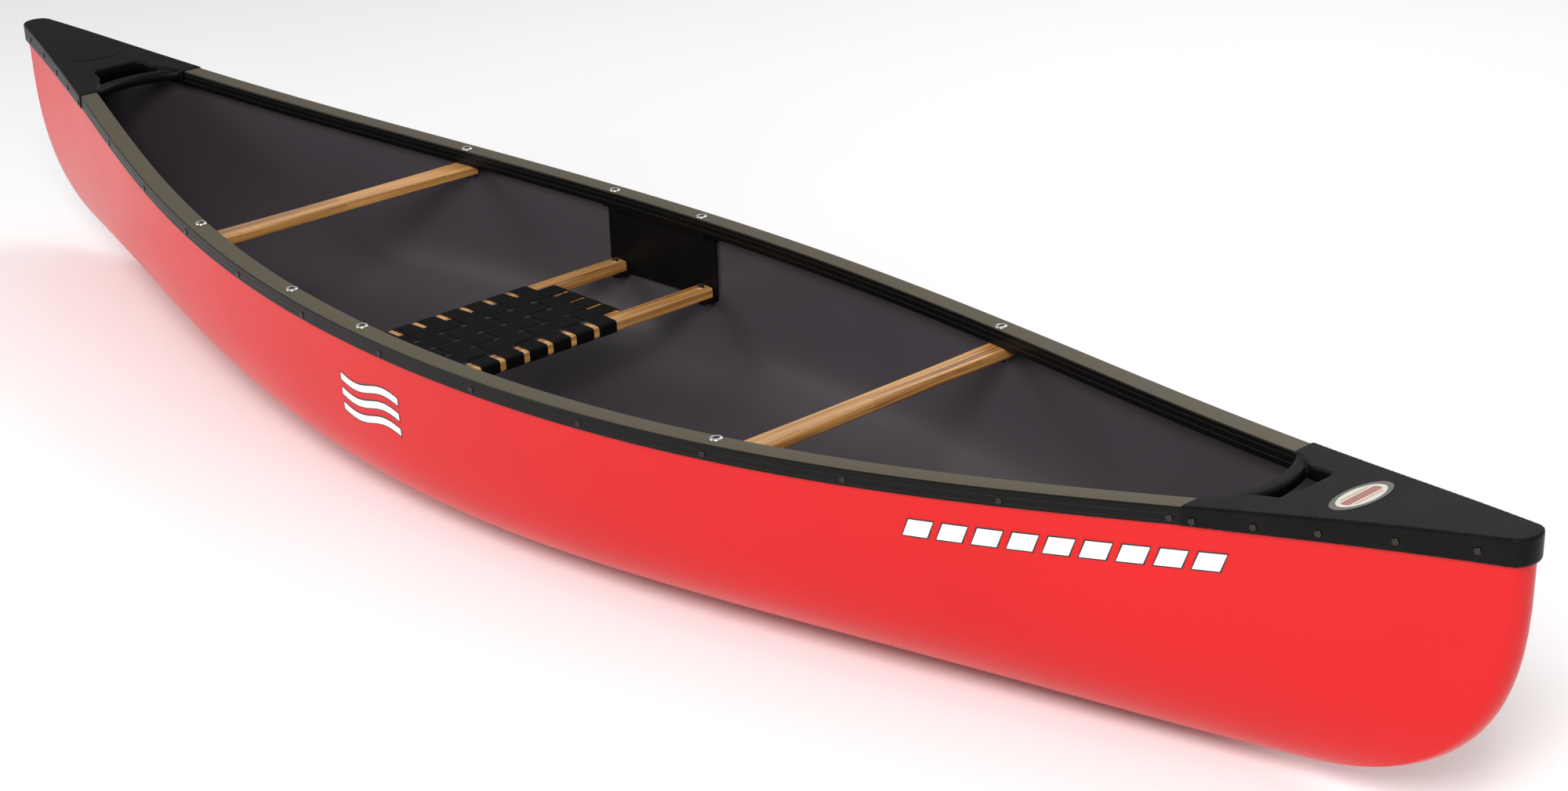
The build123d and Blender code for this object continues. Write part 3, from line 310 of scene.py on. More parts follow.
def grained_polyethylene(name, colour, worn):
    """Injection-moulded polyethylene: a pebbled top with smoother sides, a little grey where it is rubbed."""
    material, tree, shader, place = new_material(name, 0.5, ior=1.51, specular=0.1)
    facing = add_node(tree, "ShaderNodeNewGeometry").outputs["Normal"]
    height = add_node(tree, "ShaderNodeSeparateXYZ", None, {"Vector": facing}).outputs["Z"]
    top = add_node(tree, "ShaderNodeMapRange", {"From Min": 0.9, "From Max": 0.97}, {"Value": height})
    # The pebble is about 1.2 mm across; it is drawn at 3 mm so that it shows.
    pebble = add_node(tree, "ShaderNodeTexVoronoi", {"Scale": 1 / 0.003}, {"Vector": place})
    grit = add_node(tree, "ShaderNodeTexNoise", {"Scale": 1 / 0.004, "Detail": 4.0}, {"Vector": place})
    blend = add_node(tree, "ShaderNodeMath", {"operation": "MULTIPLY"},
                     {0: pebble.outputs["Distance"], 1: top.outputs["Result"]})
    rub = add_node(tree, "ShaderNodeTexNoise", {"Scale": 1 / 0.05, "Detail": 5.0}, {"Vector": place})
    rubbed = add_node(tree, "ShaderNodeMapRange", {"From Min": 0.45, "From Max": 0.8, "To Max": 0.7},
                      {"Value": rub.outputs["Fac"]})
    tone = add_node(tree, "ShaderNodeMix", {"data_type": "RGBA", 6: linear(colour), 7: linear(worn)},
                    {0: rubbed.outputs["Result"]})
    haze = add_node(tree, "ShaderNodeMapRange", {"To Min": 0.36, "To Max": 0.58},
                    {"Value": top.outputs["Result"]})
    grain = add_node(tree, "ShaderNodeBump", {"Strength": 0.9, "Distance": 0.0006},
                     {"Height": blend.outputs[0]})
    fine = add_node(tree, "ShaderNodeBump", {"Strength": 0.15, "Distance": 0.0002},
                    {"Height": grit.outputs["Fac"], "Normal": grain.outputs["Normal"]})
    tree.links.new(tone.outputs[2], shader.inputs["Base Color"])
    tree.links.new(haze.outputs["Result"], shader.inputs["Roughness"])
    tree.links.new(fine.outputs["Normal"], shader.inputs["Normal"])
    return material


def varnished_ash(name, light, dark, along):
    """Laminated ash under satin varnish: straight grain along the bar, and strips of differing tone."""
    material, tree, shader, place = new_material(name, 0.42, ior=1.53)
    # Growth rings are 2 to 3 mm apart and run on for about half a metre.
    fine, long = 1 / 0.006, 1 / 0.35
    scale = (long, fine, fine) if along == "X" else (fine, long, fine)
    stretch = add_node(tree, "ShaderNodeVectorMath", {"operation": "MULTIPLY", 1: scale}, {0: place})
    rings = add_node(tree, "ShaderNodeTexNoise", {"Scale": 1.0, "Detail": 4.0, "Distortion": 0.6},
                     {"Vector": stretch.outputs[0]})
    lines = add_node(tree, "ShaderNodeMapRange", {"From Min": 0.38, "From Max": 0.66},
                     {"Value": rings.outputs["Fac"]})
    # The laminations are 12 mm wide.
    width = (0.012, 0.012, 9.0) if along == "Y" else (9.0, 0.012, 9.0)
    strips = add_node(tree, "ShaderNodeVectorMath", {"operation": "SNAP", 1: width}, {0: place})
    only = (0.0, 1.0, 0.0) if along == "X" else (1.0, 0.0, 0.0)
    across = add_node(tree, "ShaderNodeVectorMath", {"operation": "MULTIPLY", 1: only},
                      {0: strips.outputs[0]})
    strip = add_node(tree, "ShaderNodeTexWhiteNoise", None, {"Vector": across.outputs[0]})
    shift = add_node(tree, "ShaderNodeMath", {"operation": "MULTIPLY_ADD", 1: 0.45, 2: -0.1},
                     {0: strip.outputs["Value"]})
    amount = add_node(tree, "ShaderNodeMath", {"operation": "MULTIPLY_ADD", 1: 0.75, "use_clamp": True},
                      {0: lines.outputs["Result"], 2: shift.outputs[0]})
    tone = add_node(tree, "ShaderNodeMix", {"data_type": "RGBA", 6: linear(light), 7: linear(dark)},
                    {0: amount.outputs[0]})
    pores = add_node(tree, "ShaderNodeBump", {"Strength": 0.25, "Distance": 0.0003},
                     {"Height": rings.outputs["Fac"]})
    shader.inputs["Coat Weight"].default_value = 0.35
    shader.inputs["Coat Roughness"].default_value = 0.22
    tree.links.new(tone.outputs[2], shader.inputs["Base Color"])
    tree.links.new(pores.outputs["Normal"], shader.inputs["Normal"])
    return material


def woven_polyester(name, colour, thread):
    """Woven polyester webbing: ribs of close yarn with a dull sheen on their crowns."""
    material, tree, shader, place = new_material(name, 0.62, ior=1.55, specular=0.05)
    uv = add_node(tree, "ShaderNodeTexCoord").outputs["UV"]
    # Yarns are 1.1 mm apart across the strap and 1.6 mm along it.
    across = add_node(tree, "ShaderNodeVectorMath",
                      {"operation": "MULTIPLY", 1: (1 / 0.0011, 1 / 0.0016, 0.0)}, {0: uv})
    slant = add_node(tree, "ShaderNodeMapping", {"Rotation": (0.0, 0.0, math.radians(45))},
                     {"Vector": across.outputs[0]})
    ribs = add_node(tree, "ShaderNodeTexWave", {"Scale": 0.32, "Distortion": 0.4},
                    {"Vector": across.outputs[0]})
    twill = add_node(tree, "ShaderNodeTexWave", {"Scale": 0.32, "Distortion": 0.6},
                     {"Vector": slant.outputs[0]})
    yarn = add_node(tree, "ShaderNodeMath", {"operation": "MULTIPLY"},
                    {0: ribs.outputs["Fac"], 1: twill.outputs["Fac"]})
    fuzz = add_node(tree, "ShaderNodeTexNoise", {"Scale": 1 / 0.02, "Detail": 4.0}, {"Vector": place})
    crown = add_node(tree, "ShaderNodeMath", {"operation": "MULTIPLY"},
                     {0: yarn.outputs[0], 1: fuzz.outputs["Fac"]})
    tone = add_node(tree, "ShaderNodeMix", {"data_type": "RGBA", 6: linear(colour), 7: linear(thread)},
                    {0: crown.outputs[0]})
    weave = add_node(tree, "ShaderNodeBump", {"Strength": 0.6, "Distance": 0.0004},
                     {"Height": yarn.outputs[0]})
    shader.inputs["Sheen Weight"].default_value = 0.01
    tree.links.new(tone.outputs[2], shader.inputs["Base Color"])
    tree.links.new(weave.outputs["Normal"], shader.inputs["Normal"])
    return material


def plain_metal(name, colour, roughness, metallic):
    """Small turned or coated metal, its polish uneven by handling."""
    material, tree, shader, place = new_material(name, roughness, metallic=metallic)
    shader.inputs["Base Color"].default_value = linear(colour)
    smears = add_node(tree, "ShaderNodeTexNoise", {"Scale": 1 / 0.006, "Detail": 4.0}, {"Vector": place})
    haze = add_node(tree, "ShaderNodeMapRange", {"To Min": roughness - 0.08, "To Max": roughness + 0.12},
                    {"Value": smears.outputs["Fac"]})
    tone = add_node(tree, "ShaderNodeMix", {"data_type": "RGBA", "blend_type": "MULTIPLY", 0: 0.25,
                                            6: linear(colour)}, {7: smears.outputs["Color"]})
    tree.links.new(tone.outputs[2], shader.inputs["Base Color"])
    tree.links.new(haze.outputs["Result"], shader.inputs["Roughness"])
    return material


def powder_coat(name, colour):
    """Black powder coat on sheet aluminium: a fine, even orange peel with a low gloss."""
    material, tree, shader, place = new_material(name, 0.42, specular=0.08)
    # The peel is 0.8 mm; it is drawn at 1.6 mm so that it shows.
    peel = add_node(tree, "ShaderNodeTexNoise", {"Scale": 1 / 0.0016, "Detail": 2.0}, {"Vector": place})
    cloud = add_node(tree, "ShaderNodeTexNoise", {"Scale": 1 / 0.06, "Detail": 3.0}, {"Vector": place})
    tone = add_node(tree, "ShaderNodeMix", {"data_type": "RGBA", 6: linear(colour), 7: linear("#100E0D")},
                    {0: cloud.outputs["Fac"]})
    bump = add_node(tree, "ShaderNodeBump", {"Strength": 0.2, "Distance": 0.0002},
                    {"Height": peel.outputs["Fac"]})
    tree.links.new(tone.outputs[2], shader.inputs["Base Color"])
    tree.links.new(bump.outputs["Normal"], shader.inputs["Normal"])
    return material


def printed_film(name, colour):
    """Printed vinyl film: a smooth, even colour with a faint ripple from the hull under it."""
    material, tree, shader, place = new_material(name, 0.3)
    grime = add_node(tree, "ShaderNodeTexNoise", {"Scale": 1 / 0.03, "Detail": 4.0}, {"Vector": place})
    tone = add_node(tree, "ShaderNodeMix", {"data_type": "RGBA", "blend_type": "MULTIPLY", 0: 0.12,
                                            6: linear(colour)}, {7: grime.outputs["Color"]})
    ripple = add_node(tree, "ShaderNodeBump", {"Strength": 0.1, "Distance": 0.0003},
                      {"Height": grime.outputs["Fac"]})
    tree.links.new(tone.outputs[2], shader.inputs["Base Color"])
    tree.links.new(ripple.outputs["Normal"], shader.inputs["Normal"])
    return material


def domed_label(name, centre, length, width, ground, band, rim):
    """Printed label under a clear dome: pale ground, one plain band with two thin lines, and a dark rim."""
    material, tree, shader, place = new_material(name, 0.25)
    offset = add_node(tree, "ShaderNodeVectorMath", {"operation": "SUBTRACT", 1: centre}, {0: place})
    share = add_node(tree, "ShaderNodeVectorMath", {"operation": "MULTIPLY", 1: (2 / width, 2 / length, 0.0)},
                     {0: offset.outputs[0]})
    radius = add_node(tree, "ShaderNodeVectorMath", {"operation": "LENGTH"}, {0: share.outputs[0]})
    fore = add_node(tree, "ShaderNodeSeparateXYZ", None, {"Vector": share.outputs[0]}).outputs["X"]
    far = add_node(tree, "ShaderNodeMath", {"operation": "ABSOLUTE"}, {0: fore})
    in_band = add_node(tree, "ShaderNodeMath", {"operation": "LESS_THAN", 1: 0.26}, {0: far.outputs[0]})
    in_line = add_node(tree, "ShaderNodeMath", {"operation": "COMPARE", 1: 0.42, 2: 0.035},
                       {0: far.outputs[0]})
    inked = add_node(tree, "ShaderNodeMath", {"operation": "MAXIMUM"},
                     {0: in_band.outputs[0], 1: in_line.outputs[0]})
    inside = add_node(tree, "ShaderNodeMath", {"operation": "LESS_THAN", 1: 0.66},
                      {0: radius.outputs["Value"]})
    ink = add_node(tree, "ShaderNodeMath", {"operation": "MULTIPLY"},
                   {0: inked.outputs[0], 1: inside.outputs[0]})
    print_tone = add_node(tree, "ShaderNodeMix", {"data_type": "RGBA", 6: linear(ground), 7: linear(band)},
                          {0: ink.outputs[0]})
    edge = add_node(tree, "ShaderNodeMath", {"operation": "GREATER_THAN", 1: 0.8},
                    {0: radius.outputs["Value"]})
    tone = add_node(tree, "ShaderNodeMix", {"data_type": "RGBA", 7: linear(rim)},
                    {0: edge.outputs[0], 6: print_tone.outputs[2]})
    shader.inputs["Coat Weight"].default_value = 0.8
    shader.inputs["Coat Roughness"].default_value = 0.08
    tree.links.new(tone.outputs[2], shader.inputs["Base Color"])
    return material


# --- Settings ---------------------------------------------------------------------------------
def colour_setting(name, description, code):
    """Colour property with an sRGB hex default, kept as that text."""
    return bpy.props.StringProperty(name=name, description=description, default=code)


class CanoeHullSettings(bpy.types.PropertyGroup):
    outside: colour_setting("Outside", "Colour of the outer skin", "#CE0C10")
    outside_shade: colour_setting("Outside, shaded", "Darker mottling of the outer skin", "#BE090D")
    lining: colour_setting("Lining", "Colour of the inner skin", "#4E484D")
    lining_shade: colour_setting("Lining, shaded", "Darker mottling of the inner skin", "#3E393E")
    film: colour_setting("Film", "Colour of the side stripes", "#EDEBEF")
    film_edge: colour_setting("Film edge", "Colour of the backing of the side stripes", "#15120F")
    gloss: bpy.props.FloatProperty(name="Roughness", description="Roughness of the outer skin",
                                   default=0.3, min=0.05, max=1.0)


class CanoeTrimSettings(bpy.types.PropertyGroup):
    vinyl: colour_setting("Vinyl", "Colour of the gunwale's sides", "#060505")
    # The top colour is a painted sheen: the gunwale's upward faces are drawn lighter and browner than its
    # sides.
    vinyl_top_sheen: colour_setting("Vinyl, weathered", "Colour of the gunwale's top", "#564E3E")
    deck: colour_setting("Deck", "Colour of the decks", "#080707")
    deck_worn: colour_setting("Deck, worn", "Colour of the decks where they are rubbed", "#151311")
    groove: bpy.props.FloatProperty(name="Groove", description="Depth of the gunwale's grooves",
                                    default=0.0005, unit="LENGTH", subtype="DISTANCE")


class CanoeSeatSettings(bpy.types.PropertyGroup):
    ash_light: colour_setting("Ash", "Lightest colour of the wood", "#D29A55")
    ash_dark: colour_setting("Ash, dark", "Colour of the grain", "#6F3F18")
    webbing: colour_setting("Webbing", "Colour of the straps", "#050404")
    webbing_thread: colour_setting("Webbing thread", "Colour of the crowns of the yarn", "#120F0E")
    strap: bpy.props.FloatProperty(name="Strap", description="Thickness of the webbing",
                                   default=0.0013, unit="LENGTH", subtype="DISTANCE")


class CanoeFittingSettings(bpy.types.PropertyGroup):
    stainless: colour_setting("Stainless", "Colour of the finishing washers", "#E4E1DC")
    bolt: colour_setting("Bolt", "Colour of the bolts", "#4B4845")
    black: colour_setting("Black", "Colour of the nuts and rivets", "#151413")


class CanoeStageSettings(bpy.types.PropertyGroup):
    lens: bpy.props.FloatProperty(name="Lens", description="Focal length", default=61.605,
                                  unit="CAMERA")
    azimuth: bpy.props.FloatProperty(name="Azimuth", description="Angle of the view round the boat",
                                     default=math.radians(47.767), subtype="ANGLE")
    elevation: bpy.props.FloatProperty(name="Elevation", description="Angle of the view above the floor",
                                       default=math.radians(22.691), subtype="ANGLE")
    roll: bpy.props.FloatProperty(name="Roll", description="Tilt of the camera",
                                  default=math.radians(-1.878), subtype="ANGLE")
    place: bpy.props.FloatVectorProperty(name="Place", description="Place of the camera",
                                         default=(3.2781, -2.5313, 1.832), subtype="TRANSLATION")


# --- Operators --------------------------------------------------------------------------------
class CANOE_OT_hull(bpy.types.Operator):
    """Moulded hull: outer skin, lining and the foam between them"""

    bl_idname = "canoe.hull"
    bl_label = "Hull"

    def execute(self, context):
        look = context.scene.canoe_hull
        red = rotomoulded_polyethylene("rotomoulded_polyethylene_red", look.outside, look.outside_shade,
                                       look.gloss)
        grey = rotomoulded_polyethylene("rotomoulded_polyethylene_lining", look.lining, look.lining_shade,
                                        0.4)
        for name, inset, order, material, slot in (
                ("outer_skin", 0.0, 1, red, "hull_red"), ("lining", WALL, -1, grey, "hull_lining")):
            rows = [self.section(s, inset)[::order] for s in self.stations()]
            skin = grid_piece(name, rows)
            shell = bmesh.new()
            shell.from_mesh(skin.data)
            bmesh.ops.remove_doubles(shell, verts=shell.verts, dist=0.02 * MM)
            shell.to_mesh(skin.data)
            shell.free()
            thick = skin.modifiers.new("wall", "SOLIDIFY")
            thick.thickness, thick.offset = (SKIN - 0.1) * MM, -1
            dress(skin, material, slot, "hull_outer_skin" if inset == 0 else "hull_inner_skin")
        foam = rotomoulded_polyethylene("foamed_polyethylene_core", "#9C948C", "#8A8178", 0.7)
        paint(foam, "hull_foam_core")
        return {"FINISHED"}

    @staticmethod
    def stations():
        """Shares of the half length, closer together towards the tips."""
        body = [NOSE_SHARE * math.sin(math.pi / 2 * i / 56) for i in range(57)]
        tip = [NOSE_SHARE + (1 - NOSE_SHARE) * math.sin(math.pi / 2 * i / 8) for i in range(1, 9)]
        half = body + tip
        return [-s for s in reversed(half[1:])] + half

    @staticmethod
    def section(s, inset):
        """Section of the hull from the starboard rim under the keel to the port rim."""
        angles = [math.pi / 2 * (i / 40) ** 1.6 for i in range(41)]
        port = [hull_point(s, angle, inset, 1) for angle in angles]
        port += [port[-1] + Vector((0, 0, RIM_BAND * MM * i / 4)) for i in range(1, 5)]
        return [Vector((p.x, -p.y, p.z)) for p in reversed(port[1:])] + port


class CANOE_OT_decals(bpy.types.Operator):
    """Plain side stripes and a wave emblem on each side"""

    bl_idname = "canoe.decals"
    bl_label = "Side stripes"

    def execute(self, context):
        look = context.scene.canoe_hull
        pale = printed_film("printed_film_pale", look.film)
        dark = printed_film("printed_film_dark", look.film_edge)
        for side_name, side in SIDES.items():
            layers = (("backing", dark, BACKING_MARGIN, 0.25), ("face", pale, 0.0, 0.45))
            for tone, material, grow, proud in layers:
                patches = []
                for i in range(BARS):
                    start = FIRST_BAR + BAR_STEP * i
                    patches.append((start - grow, start + BAR_LENGTH + grow, BAR_TOP - grow,
                                    BAR_FOOT + grow, BAR_SLANT))
                for i in range(WAVES):
                    top = WAVE_TOP + WAVE_STEP * i
                    patches.append((WAVE_START - grow, WAVE_END + grow, top - grow,
                                    top + WAVE_WIDTH + grow, None))
                rows = []
                for x0, x1, high, low, slant in patches:
                    rows.append(self.patch(x0, x1, high, low, slant, side, proud))
                film = self.joined(f"side_film_{tone}_{side_name}", rows)
                dress(film, material, "badge_enamel")
        return {"FINISHED"}

    @staticmethod
    def patch(x0, x1, high, low, slant, side, proud):
        """Rows of points of one bar, slanted, or rippled like water where there is no slant."""
        rows = []
        for i in range(25):
            x = x0 + (x1 - x0) * i / 24
            row = []
            for j in range(5):
                below = high + (low - high) * j / 4
                if slant is None:
                    spot, below = x, below + WAVE_HEIGHT * math.sin((x - x0) / WAVE_RUN)
                else:
                    spot = x + slant * (0.5 - j / 4)
                row.append(on_side(spot, below, side, proud))
            rows.append(row if side < 0 else row[::-1])
        return rows

    @staticmethod
    def joined(name, patches):
        """One piece of film from several patches."""
        mesh = bpy.data.meshes.new(name)
        points, faces = [], []
        for rows in patches:
            base, count = len(points), len(rows[0])
            points += [p for row in rows for p in row]
            for i in range(len(rows) - 1):
                for j in range(count - 1):
                    a = base + i * count + j
                    faces.append((a, a + 1, a + count + 1, a + count))
        mesh.from_pydata(points, [], faces)
        mesh.shade_smooth()
        made = bpy.data.objects.new(name, mesh)
        bpy.context.scene.collection.objects.link(made)
        return made


class CANOE_OT_gunwales(bpy.types.Operator):
    """Vinyl gunwales with rounded edges and grooved faces, and the tubes inside them"""

    bl_idname = "canoe.gunwales"
    bl_label = "Gunwales"

    def execute(self, context):
        look = context.scene.canoe_trim
        # The vinyl's lighter top colour is a painted sheen on its upward faces.
        vinyl = extruded_vinyl("extruded_vinyl_black", look.vinyl, look.vinyl_top_sheen)
        groove = look.groove / MM
        corners = [(0.3, -25.6, 0), (4.0, -25.6, 1.2)]
        for height in (-20.5, -10.5):
            corners += self.notch(4.0, height, -groove)
        corners += [(4.0, 0.0, 3.0), (-14.0, 0.0, 0), (-32.0, 0.0, 3.0)]
        for height in (-8.0, -18.0):
            corners += self.notch(-32.0, height, groove)[::-1]
        corners += [(-32.0, -28.0, 2.0), (-7.3, -28.0, 0.6), (-7.3, -2.7, 0), (0.3, -2.7, 0)]
        outline = rounded_outline(corners)
        across = [0.0]
        for a, b in zip(outline, outline[1:] + outline[:1]):
            across.append(across[-1] + (b - a).length * MM)
        stations = [-GUNWALE_END + 2 * GUNWALE_END * i / 160 for i in range(161)]
        for name, side in SIDES.items():
            rows = [[rim_point(x, u, side, v) for u, v in outline] for x in stations]
            along = running_length([row[0] for row in rows])
            rail = grid_piece(f"gunwale_rail_{name}", rows, wrap=True, along=along, across=across)
            rail.data.set_sharp_from_angle(angle=math.radians(40))
            dress(rail, vinyl, "gunwale_vinyl", f"gunwale_{name}")
        tube = plain_metal("mill_finish_aluminium", "#C4C4C8", 0.35, 1.0)
        paint(tube, "gunwale_insert_port", "gunwale_insert_starboard")
        return {"FINISHED"}

    @staticmethod
    def notch(u, height, depth):
        """Corners of a groove going up the outer face."""
        return [(u, height - 0.6, 0), (u + depth, height - 0.3, 0), (u + depth, height + 0.3, 0),
                (u, height + 0.6, 0)]


class CANOE_OT_decks(bpy.types.Operator):
    """End decks with their badges"""

    bl_idname = "canoe.decks"
    bl_label = "Decks"

    def execute(self, context):
        look = context.scene.canoe_trim
        moulding = grained_polyethylene("moulded_polyethylene_grained", look.deck, look.deck_worn)
        paint(moulding, "stern_badge")
        bow = self.softened("bow_deck_moulding", "bow_deck")
        stern_mesh = bow.data.copy()
        stern_mesh.transform(Matrix.Scale(-1, 4, (1, 0, 0)))
        stern_mesh.flip_normals()
        stern = bpy.data.objects.new("stern_deck_moulding", stern_mesh)
        context.scene.collection.objects.link(stern)
        dress(bow, moulding, "deck_plastic", "bow_deck")
        dress(stern, moulding, "deck_plastic", "stern_deck")
        low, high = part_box("bow_badge")
        centre = (low + high) / 2
        label = domed_label("domed_label", centre, high.y - low.y, high.x - low.x,
                            "#D9D2C2", "#9A4A34", "#2B2723")
        paint(label, "bow_badge")
        return {"FINISHED"}

    @staticmethod
    def softened(name, node):
        """Copy of a solid with all its edges eased, as a moulding's are."""
        cast = bpy.data.objects.new(name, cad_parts[node].data.copy())
        bpy.context.scene.collection.objects.link(cast)
        weld = cast.modifiers.new("weld", "WELD")
        weld.merge_threshold = 0.01 * MM
        remesh = cast.modifiers.new("voxels", "REMESH")
        remesh.mode, remesh.voxel_size = "VOXEL", 1.3 * MM
        ease = cast.modifiers.new("ease", "SMOOTH")
        ease.factor, ease.iterations = 0.5, 36
        thin = cast.modifiers.new("thin", "DECIMATE")
        thin.ratio = 0.3
        graph = bpy.context.evaluated_depsgraph_get()
        mesh = bpy.data.meshes.new_from_object(cast.evaluated_get(graph))
        bpy.data.objects.remove(cast)
        mesh.shade_smooth()
        eased = bpy.data.objects.new(name, mesh)
        bpy.context.scene.collection.objects.link(eased)
        return eased


class CANOE_OT_woodwork(bpy.types.Operator):
    """Ash thwarts and seat frame"""

    bl_idname = "canoe.woodwork"
    bl_label = "Woodwork"

    def execute(self, context):
        look = context.scene.canoe_seat
        across = varnished_ash("varnished_ash_across", look.ash_light, look.ash_dark, "Y")
        along = varnished_ash("varnished_ash_along", look.ash_light, look.ash_dark, "X")
        paint(across, "bow_thwart", "stern_thwart", "seat_front_bar", "seat_rear_bar")
        paint(along, "seat_rail_port", "seat_rail_starboard", "seat_dowels")
        return {"FINISHED"}


class CANOE_OT_webbing(bpy.types.Operator):
    """Seat straps woven over and under one another"""

    bl_idname = "canoe.webbing"
    bl_label = "Webbing"

    BEND = 4.9 * MM
    TUCK = 24 * MM

    def execute(self, context):
        look = context.scene.canoe_seat
        cloth = woven_polyester("woven_polyester_webbing", look.webbing, look.webbing_thread)
        half = look.strap / 2
        lengths = [f"webbing_lengthwise_{i}" for i in range(1, 8)]
        crosses = [f"webbing_crosswise_{i}" for i in range(1, 5)]
        boxes = {name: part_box(name) for name in lengths + crosses}
        low_top = boxes[lengths[0]][1].z - half
        high_top = boxes[crosses[0]][1].z - half
        rows = [(boxes[n][0].y + boxes[n][1].y) / 2 for n in lengths]
        columns = [(boxes[n][0].x + boxes[n][1].x) / 2 for n in crosses]
        for i, name in enumerate(lengths):
            low, high = boxes[name]
            levels = [high_top if (i + k) % 2 else low_top for k in range(len(columns))]
            run = self.loop(low.x + half, high.x - half, low.z + half, low_top, columns, levels)
            path = [Vector((u, rows[i], z)) for u, z in run]
            self.strap(f"strap_{name}", path, Vector((0, 1, 0)), high.y - low.y, look.strap, cloth, name)
        for k, name in enumerate(crosses):
            low, high = boxes[name]
            levels = [low_top if (i + k) % 2 else high_top for i in range(len(rows))]
            run = self.loop(low.y + half, high.y - half, low.z + half, high_top, rows, levels)
            path = [Vector((columns[k], u, z)) for u, z in run]
            self.strap(f"strap_{name}", path, Vector((1, 0, 0)), high.x - low.x, look.strap, cloth, name)
        return {"FINISHED"}

    def loop(self, start, end, bottom, top, crossings, levels):
        """Line of a strap: under one bar, over the weave, and under the other bar."""
        bend = self.BEND
        half = [(start + self.TUCK, bottom), (start + 2 * bend, bottom)]
        for step in range(7):
            turn = math.pi / 2 * step / 6
            half.append((start + bend - bend * math.sin(turn), bottom + bend - bend * math.cos(turn)))
        for step in range(7):
            turn = math.pi / 2 * step / 6
            half.append((start + bend - bend * math.cos(turn), top - bend + bend * math.sin(turn)))
        flat = 13 * MM
        keys = [(start + bend, top)]
        for place, level in zip(crossings, levels):
            keys += [(place - flat, level), (place + flat, level)]
        keys.append((end - bend, top))
        keys.sort()
        woven = []
        for (u0, z0), (u1, z1) in zip(keys, keys[1:]):
            for step in range(1, 7):
                t = step / 6
                woven.append((u0 + (u1 - u0) * t, z0 + (z1 - z0) * t * t * (3 - 2 * t)))
        other = [(end + start - u, z) for u, z in reversed(half)]
        return half + woven + other[1:]

    @staticmethod
    def strap(name, path, across, width, thickness, cloth, node):
        """Flat strap along a path, thinner at its selvedges."""
        rows = []
        for i, point in enumerate(path):
            ahead = (path[min(i + 1, len(path) - 1)] - path[max(i - 1, 0)]).normalized()
            out = across.cross(ahead)
            face = []
            for j in range(9):
                share = j / 4 - 1
                depth = thickness / 2 * (1 - 0.55 * abs(share) ** 5)
                face.append((across * share * width / 2, out * depth))
            rows.append([point + a + b for a, b in face] + [point + a - b for a, b in reversed(face)])
        across_lengths = [width * j / 8 for j in range(9)] + [width * (8 - j) / 8 for j in range(9)] + [0.0]
        made = grid_piece(name, rows, wrap=True, along=running_length(path), across=across_lengths)
        made.data.set_sharp_from_angle(angle=math.radians(50))
        dress(made, cloth, "webbing", node)


class CANOE_OT_hangers(bpy.types.Operator):
    """Plates that hang the seat from the gunwales"""

    bl_idname = "canoe.hangers"
    bl_label = "Seat hangers"

    def execute(self, context):
        paint(powder_coat("powder_coat_black", "#070606"), "seat_hanger_port", "seat_hanger_starboard")
        return {"FINISHED"}


class CANOE_OT_fittings(bpy.types.Operator):
    """Bolts, nuts, washers, rivets and staples"""

    bl_idname = "canoe.fittings"
    bl_label = "Fittings"

    def execute(self, context):
        look = context.scene.canoe_fittings
        paint(plain_metal("stainless_pressed", look.stainless, 0.26, 1.0), "finishing_washers",
              "seat_washers", "thwart_washers", "webbing_staples")
        paint(plain_metal("stainless_bolt", look.bolt, 0.34, 1.0), "thwart_bolts", "hanger_bolts",
              "seat_bolts")
        paint(plain_metal("black_oxide_steel", look.black, 0.36, 0.6), "thwart_nuts", "hanger_nuts",
              "seat_nuts")
        paint(plain_metal("black_anodised_aluminium", "#3E3A36", 0.24, 1.0), "gunwale_rivets_port",
              "gunwale_rivets_starboard", "deck_rivets")
        return {"FINISHED"}


